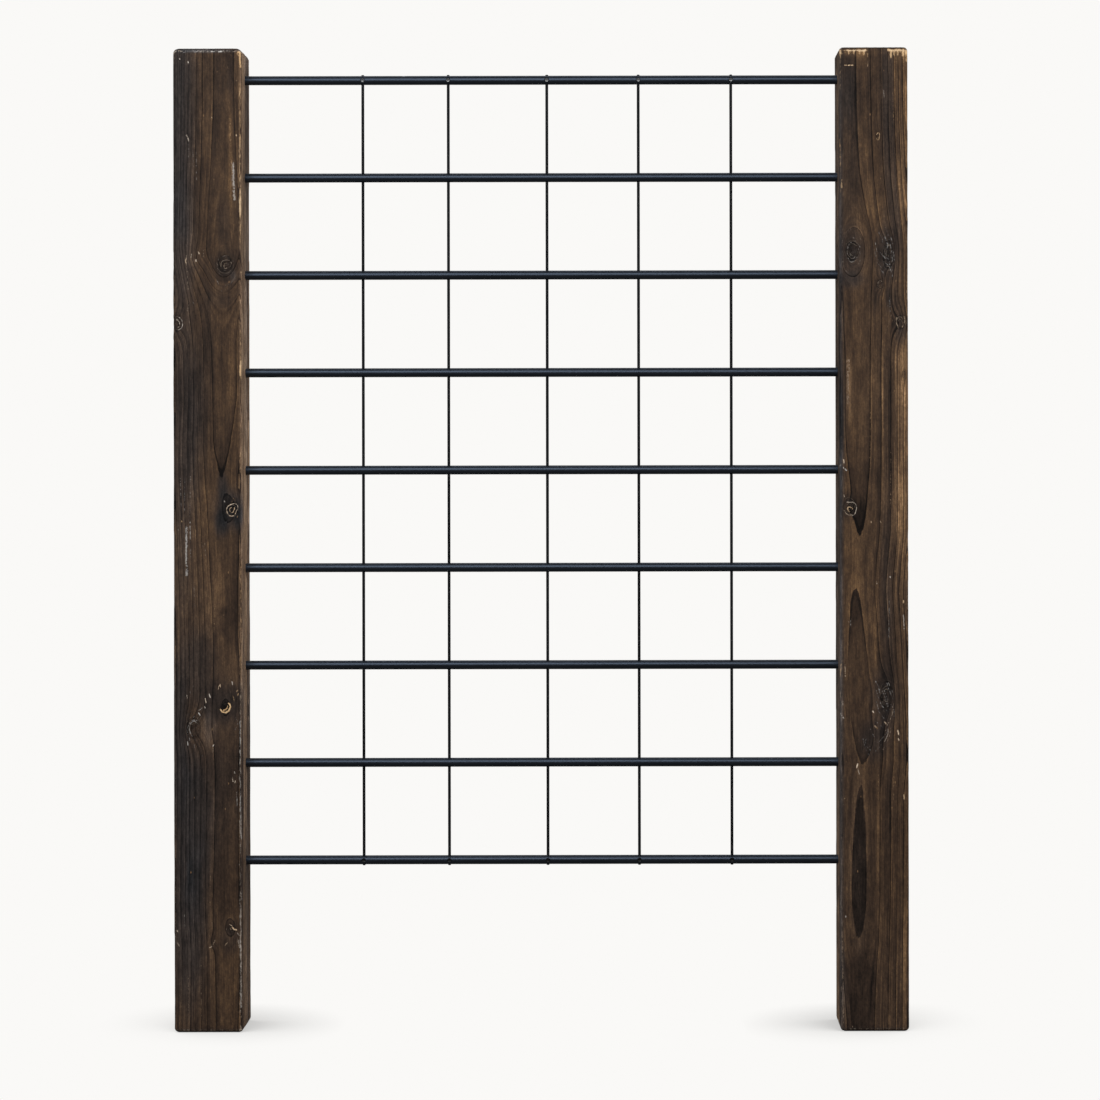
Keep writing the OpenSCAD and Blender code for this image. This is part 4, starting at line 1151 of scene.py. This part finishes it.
def thread(s0, s1, pitch, depth):
    def radius(s, r, th):
        if s < s0 or s > s1:
            return np.full(len(th), r)
        ph = (s / pitch - th / (2 * math.pi)) % 1.0
        ease = min(1.0, (s - s0) / pitch, (s1 - s) / pitch)
        return r - depth * ease * np.abs(2 * ph - 1)
    return radius


def make_grubs(i, node, material):
    z = ROD_Z[i]
    tip = WIRE_R + 0.05 + WIRE_COAT
    top = ROD_R - 0.8
    length = top - tip
    solid, sockets = [], []
    for x in WIRE_X:
        prof = [(0.0, 1.7), (0.06, 1.9), (0.62, 2.42)] + [(s, 2.49) for s in np.arange(0.72, length - 0.35, 0.1)] + [(length - 0.22, 2.44), (length, 2.2)]
        solid.append(turned(prof, 40, (0, -1, 0), (x, -tip, z), thread(0.7, length - 0.3, 0.8, 0.30)))
        sockets.append(turned([(length - 1.8, 1.44), (length - 0.2, 1.44), (length + 0.6, 2.0)], 6, (0, -1, 0), (x, -tip, z), start=math.pi / 6))
    v, f = joined(solid)
    ob = mesh_object(node, v * MM, f)
    cut(ob, sockets)

    # the screws are dark all over but for a bare crescent on the lower rim of each head: a painted glint, the lower
    # edge catching light from above
    def rub(p):
        q = np.hypot(p[:, 2] - z, np.min(np.abs(p[:, 0][:, None] - np.array(WIRE_X)[None]), 1))
        low = step(-0.4, -1.9, p[:, 2] - z)
        return np.clip(0.95 - 0.75 * low * step(1.2, 2.1, q), 0, 1)

    return finish_piece(ob, material, node, 35, rub)


def make_locks(side, node, material):
    solid, recess = [], []
    for k, i in enumerate(LOCKED):
        z = ROD_Z[i]
        prof = [(0.0, 4.25), (0.05, 4.5), (0.22, 4.66), (0.45, 4.62), (1.6, 3.4), (2.4, 2.42)]
        prof += [(s, 2.38) for s in np.arange(3.0, 50.5, 0.42)] + [(50.8 + 0.5 * j, 2.36 - 0.113 * j) for j in range(17)] + [(59.0, 0.42)]
        solid.append(turned(prof, 40, (0, -1, 0), (side * LOCK_X, 44.6, z), thread(16.0, 58.0, 2.1, 0.62)))
        turn = 0.35 + 0.9 * k
        c, s = math.cos(turn), math.sin(turn)
        for odd, (a, b) in enumerate((((c, s), (-s, c)), ((-s, c), (-c, -s)))):
            loops = []
            for d, hw, hl in ((-1.0, 0.62, 2.6), (0.15, 0.59, 2.3), (1.0, 0.46, 1.6), (1.9, 0.30, 0.8)):
                q = [(hl, hw), (-hl, hw), (-hl, -hw), (hl, -hw)]
                loops.append(np.array([[side * LOCK_X + m * a[0] + n * b[0], 44.6 - d - 0.04 * odd, z + m * a[1] + n * b[1]] for m, n in q]))
            recess.append(loft(loops))
    v, f = joined(solid)
    ob = mesh_object(node, v * MM, f)
    cut(ob, recess[0::2])
    cut(ob, recess[1::2])

    def rub(p):
        return np.clip(step(1.2, 2.0, 44.6 - p[:, 1]) * 0.25 + 0.05, 0, 1)

    return finish_piece(ob, material, node, 35, rub)


# ---------------------------------------------------------------- make the object

wood = timber_material()
rod_black = rod_material("black_rod", (0.0070, 0.0076, 0.0092), 0.38, 1.0, 0.85, (0.60, 0.75, 1.0, 1))
wire_black = rod_material("black_wire", (0.0068, 0.0070, 0.0076), 0.50, 0.8, 0.20, (0.9, 0.95, 1.0, 1))
steel = screw_material()

pieces = [make_post(LEFT, wood), make_post(RIGHT, wood)]
pieces += [make_rod(i, rod_black) for i in range(9)]
pieces += [make_wire(i, wire_black) for i in range(5)]
pieces += [make_grubs(0, "top_grub_screws", steel), make_grubs(8, "bottom_grub_screws", steel)]
pieces += [make_locks(-1, "left_lock_screws", steel), make_locks(1, "right_lock_screws", steel)]


# ---------------------------------------------------------------- floor, light and camera

scene = bpy.context.scene
scene.view_settings.view_transform = "Standard"
scene.view_settings.look = "None"
scene.view_settings.exposure = 0.0
scene.view_settings.gamma = 1.0

WHITE = (0.956, 0.947, 0.930)
DOME = 0.39

floor_me = bpy.data.meshes.new("floor")
floor_me.from_pydata([(-40, -40, 0), (40, -40, 0), (40, 40, 0), (-40, 40, 0)], [], [(0, 1, 2, 3)])
floor = bpy.data.objects.new("floor", floor_me)
scene.collection.objects.link(floor)
fm = bpy.data.materials.new("pale_floor")
fm.use_nodes = True
t = fm.node_tree
t.nodes.clear()
out = t.nodes.new("ShaderNodeOutputMaterial")
# white paper, with a soft shadow close round whatever stands on it, deeper behind and between the posts
where = t.nodes.new("ShaderNodeNewGeometry")
parts = t.nodes.new("ShaderNodeSeparateXYZ")
t.links.new(where.outputs["Position"], parts.inputs[0])
lean = t.nodes.new("ShaderNodeMapRange")
lean.inputs["From Min"].default_value = -0.3
lean.inputs["From Max"].default_value = 0.3
lean.inputs["To Min"].default_value = -0.35
lean.inputs["To Max"].default_value = 0.35
t.links.new(parts.outputs["X"], lean.inputs["Value"])
sky = t.nodes.new("ShaderNodeCombineXYZ")
sky.inputs[1].default_value = -0.42
sky.inputs[2].default_value = 0.75
t.links.new(lean.outputs[0], sky.inputs[0])
unit = t.nodes.new("ShaderNodeVectorMath")
unit.operation = "NORMALIZE"
t.links.new(sky.outputs[0], unit.inputs[0])
near = t.nodes.new("ShaderNodeAmbientOcclusion")
near.samples = 16
near.inputs["Distance"].default_value = 0.13
t.links.new(unit.outputs[0], near.inputs["Normal"])
level = t.nodes.new("ShaderNodeMapRange")
level.inputs["From Min"].default_value = 0.40
level.inputs["From Max"].default_value = 1.0
level.inputs["To Min"].default_value = 0.59
level.inputs["To Max"].default_value = 1.0
t.links.new(near.outputs["AO"], level.inputs["Value"])
both = t.nodes.new("ShaderNodeEmission")
both.inputs[0].default_value = WHITE + (1,)
t.links.new(level.outputs[0], both.inputs[1])
dull = t.nodes.new("ShaderNodeBsdfDiffuse")
dull.inputs[0].default_value = (0.25, 0.248, 0.244, 1)
path = t.nodes.new("ShaderNodeLightPath")
pick = t.nodes.new("ShaderNodeMixShader")
t.links.new(path.outputs["Is Camera Ray"], pick.inputs[0])
t.links.new(dull.outputs[0], pick.inputs[1])
t.links.new(both.outputs[0], pick.inputs[2])
t.links.new(pick.outputs[0], out.inputs[0])
floor_me.materials.append(fm)

world = bpy.data.worlds.new("studio")
scene.world = world
world.use_nodes = True
t = world.node_tree
t.nodes.clear()
out = t.nodes.new("ShaderNodeOutputWorld")
seen = t.nodes.new("ShaderNodeBackground")
seen.inputs[0].default_value = WHITE + (1,)
soft = t.nodes.new("ShaderNodeBackground")
soft.inputs[0].default_value = (1.0, 0.99, 0.975, 1)
soft.inputs[1].default_value = DOME
dim = t.nodes.new("ShaderNodeBackground")
dim.inputs[0].default_value = (0.9, 0.95, 1.0, 1)
dim.inputs[1].default_value = 0.05
path = t.nodes.new("ShaderNodeLightPath")
m1 = t.nodes.new("ShaderNodeMixShader")
m2 = t.nodes.new("ShaderNodeMixShader")
t.links.new(path.outputs["Is Glossy Ray"], m1.inputs[0])
t.links.new(soft.outputs[0], m1.inputs[1])
t.links.new(dim.outputs[0], m1.inputs[2])
t.links.new(path.outputs["Is Camera Ray"], m2.inputs[0])
t.links.new(m1.outputs[0], m2.inputs[1])
t.links.new(seen.outputs[0], m2.inputs[2])
t.links.new(m2.outputs[0], out.inputs[0])

lit = bpy.data.collections.new("lit_by_softboxes")
for o in pieces:
    lit.objects.link(o)


def softbox(name, at, towards, size, radiance, colour):
    data = bpy.data.lights.new(name, "AREA")
    data.shape = "RECTANGLE"
    data.size, data.size_y = size
    data.energy = radiance * math.pi * size[0] * size[1]
    data.color = colour
    ob = bpy.data.objects.new(name, data)
    scene.collection.objects.link(ob)
    ob.location = at
    ob.rotation_euler = (Vector(towards) - Vector(at)).to_track_quat("-Z", "Y").to_euler()
    ob.visible_camera = False
    ob.light_linking.receiver_collection = lit
    return ob


softbox("key", (-0.45, -2.75, 2.35), (0.0, 0.0, 0.70), (2.8, 2.0), 3.2, (0.94, 0.97, 1.0))
softbox("left", (-2.9, -1.0, 1.35), (0.40, 0.0, 0.65), (1.2, 1.8), 3.0, (1.0, 0.97, 0.93)).visible_glossy = False
softbox("side", (2.9, -1.0, 1.35), (-0.40, 0.0, 0.65), (1.2, 1.8), 6.0, (1.0, 0.97, 0.93)).visible_glossy = False
softbox("rear", (-0.6, 3.2, 2.6), (0.0, 0.0, 0.70), (2.6, 1.5), 1.8, (0.97, 0.98, 1.0)).visible_glossy = False
softbox("top", (0.0, 1.1, 3.4), (0.0, 0.0, 0.80), (2.4, 1.2), 1.2, (0.95, 0.97, 1.0))

cam_data = bpy.data.cameras.new("camera")
cam_data.sensor_fit = "HORIZONTAL"
cam_data.sensor_width = 36.0
cam_data.lens = 100.66
cam_data.shift_x = -0.0705
cam_data.shift_y = -0.0883
cam_data.clip_end = 200.0
cam = bpy.data.objects.new("camera", cam_data)
scene.collection.objects.link(cam)
cam.location = (0.1145, -4.105, 0.7645)
cam.rotation_euler = (math.radians(90), math.radians(0.10), 0)
scene.camera = cam
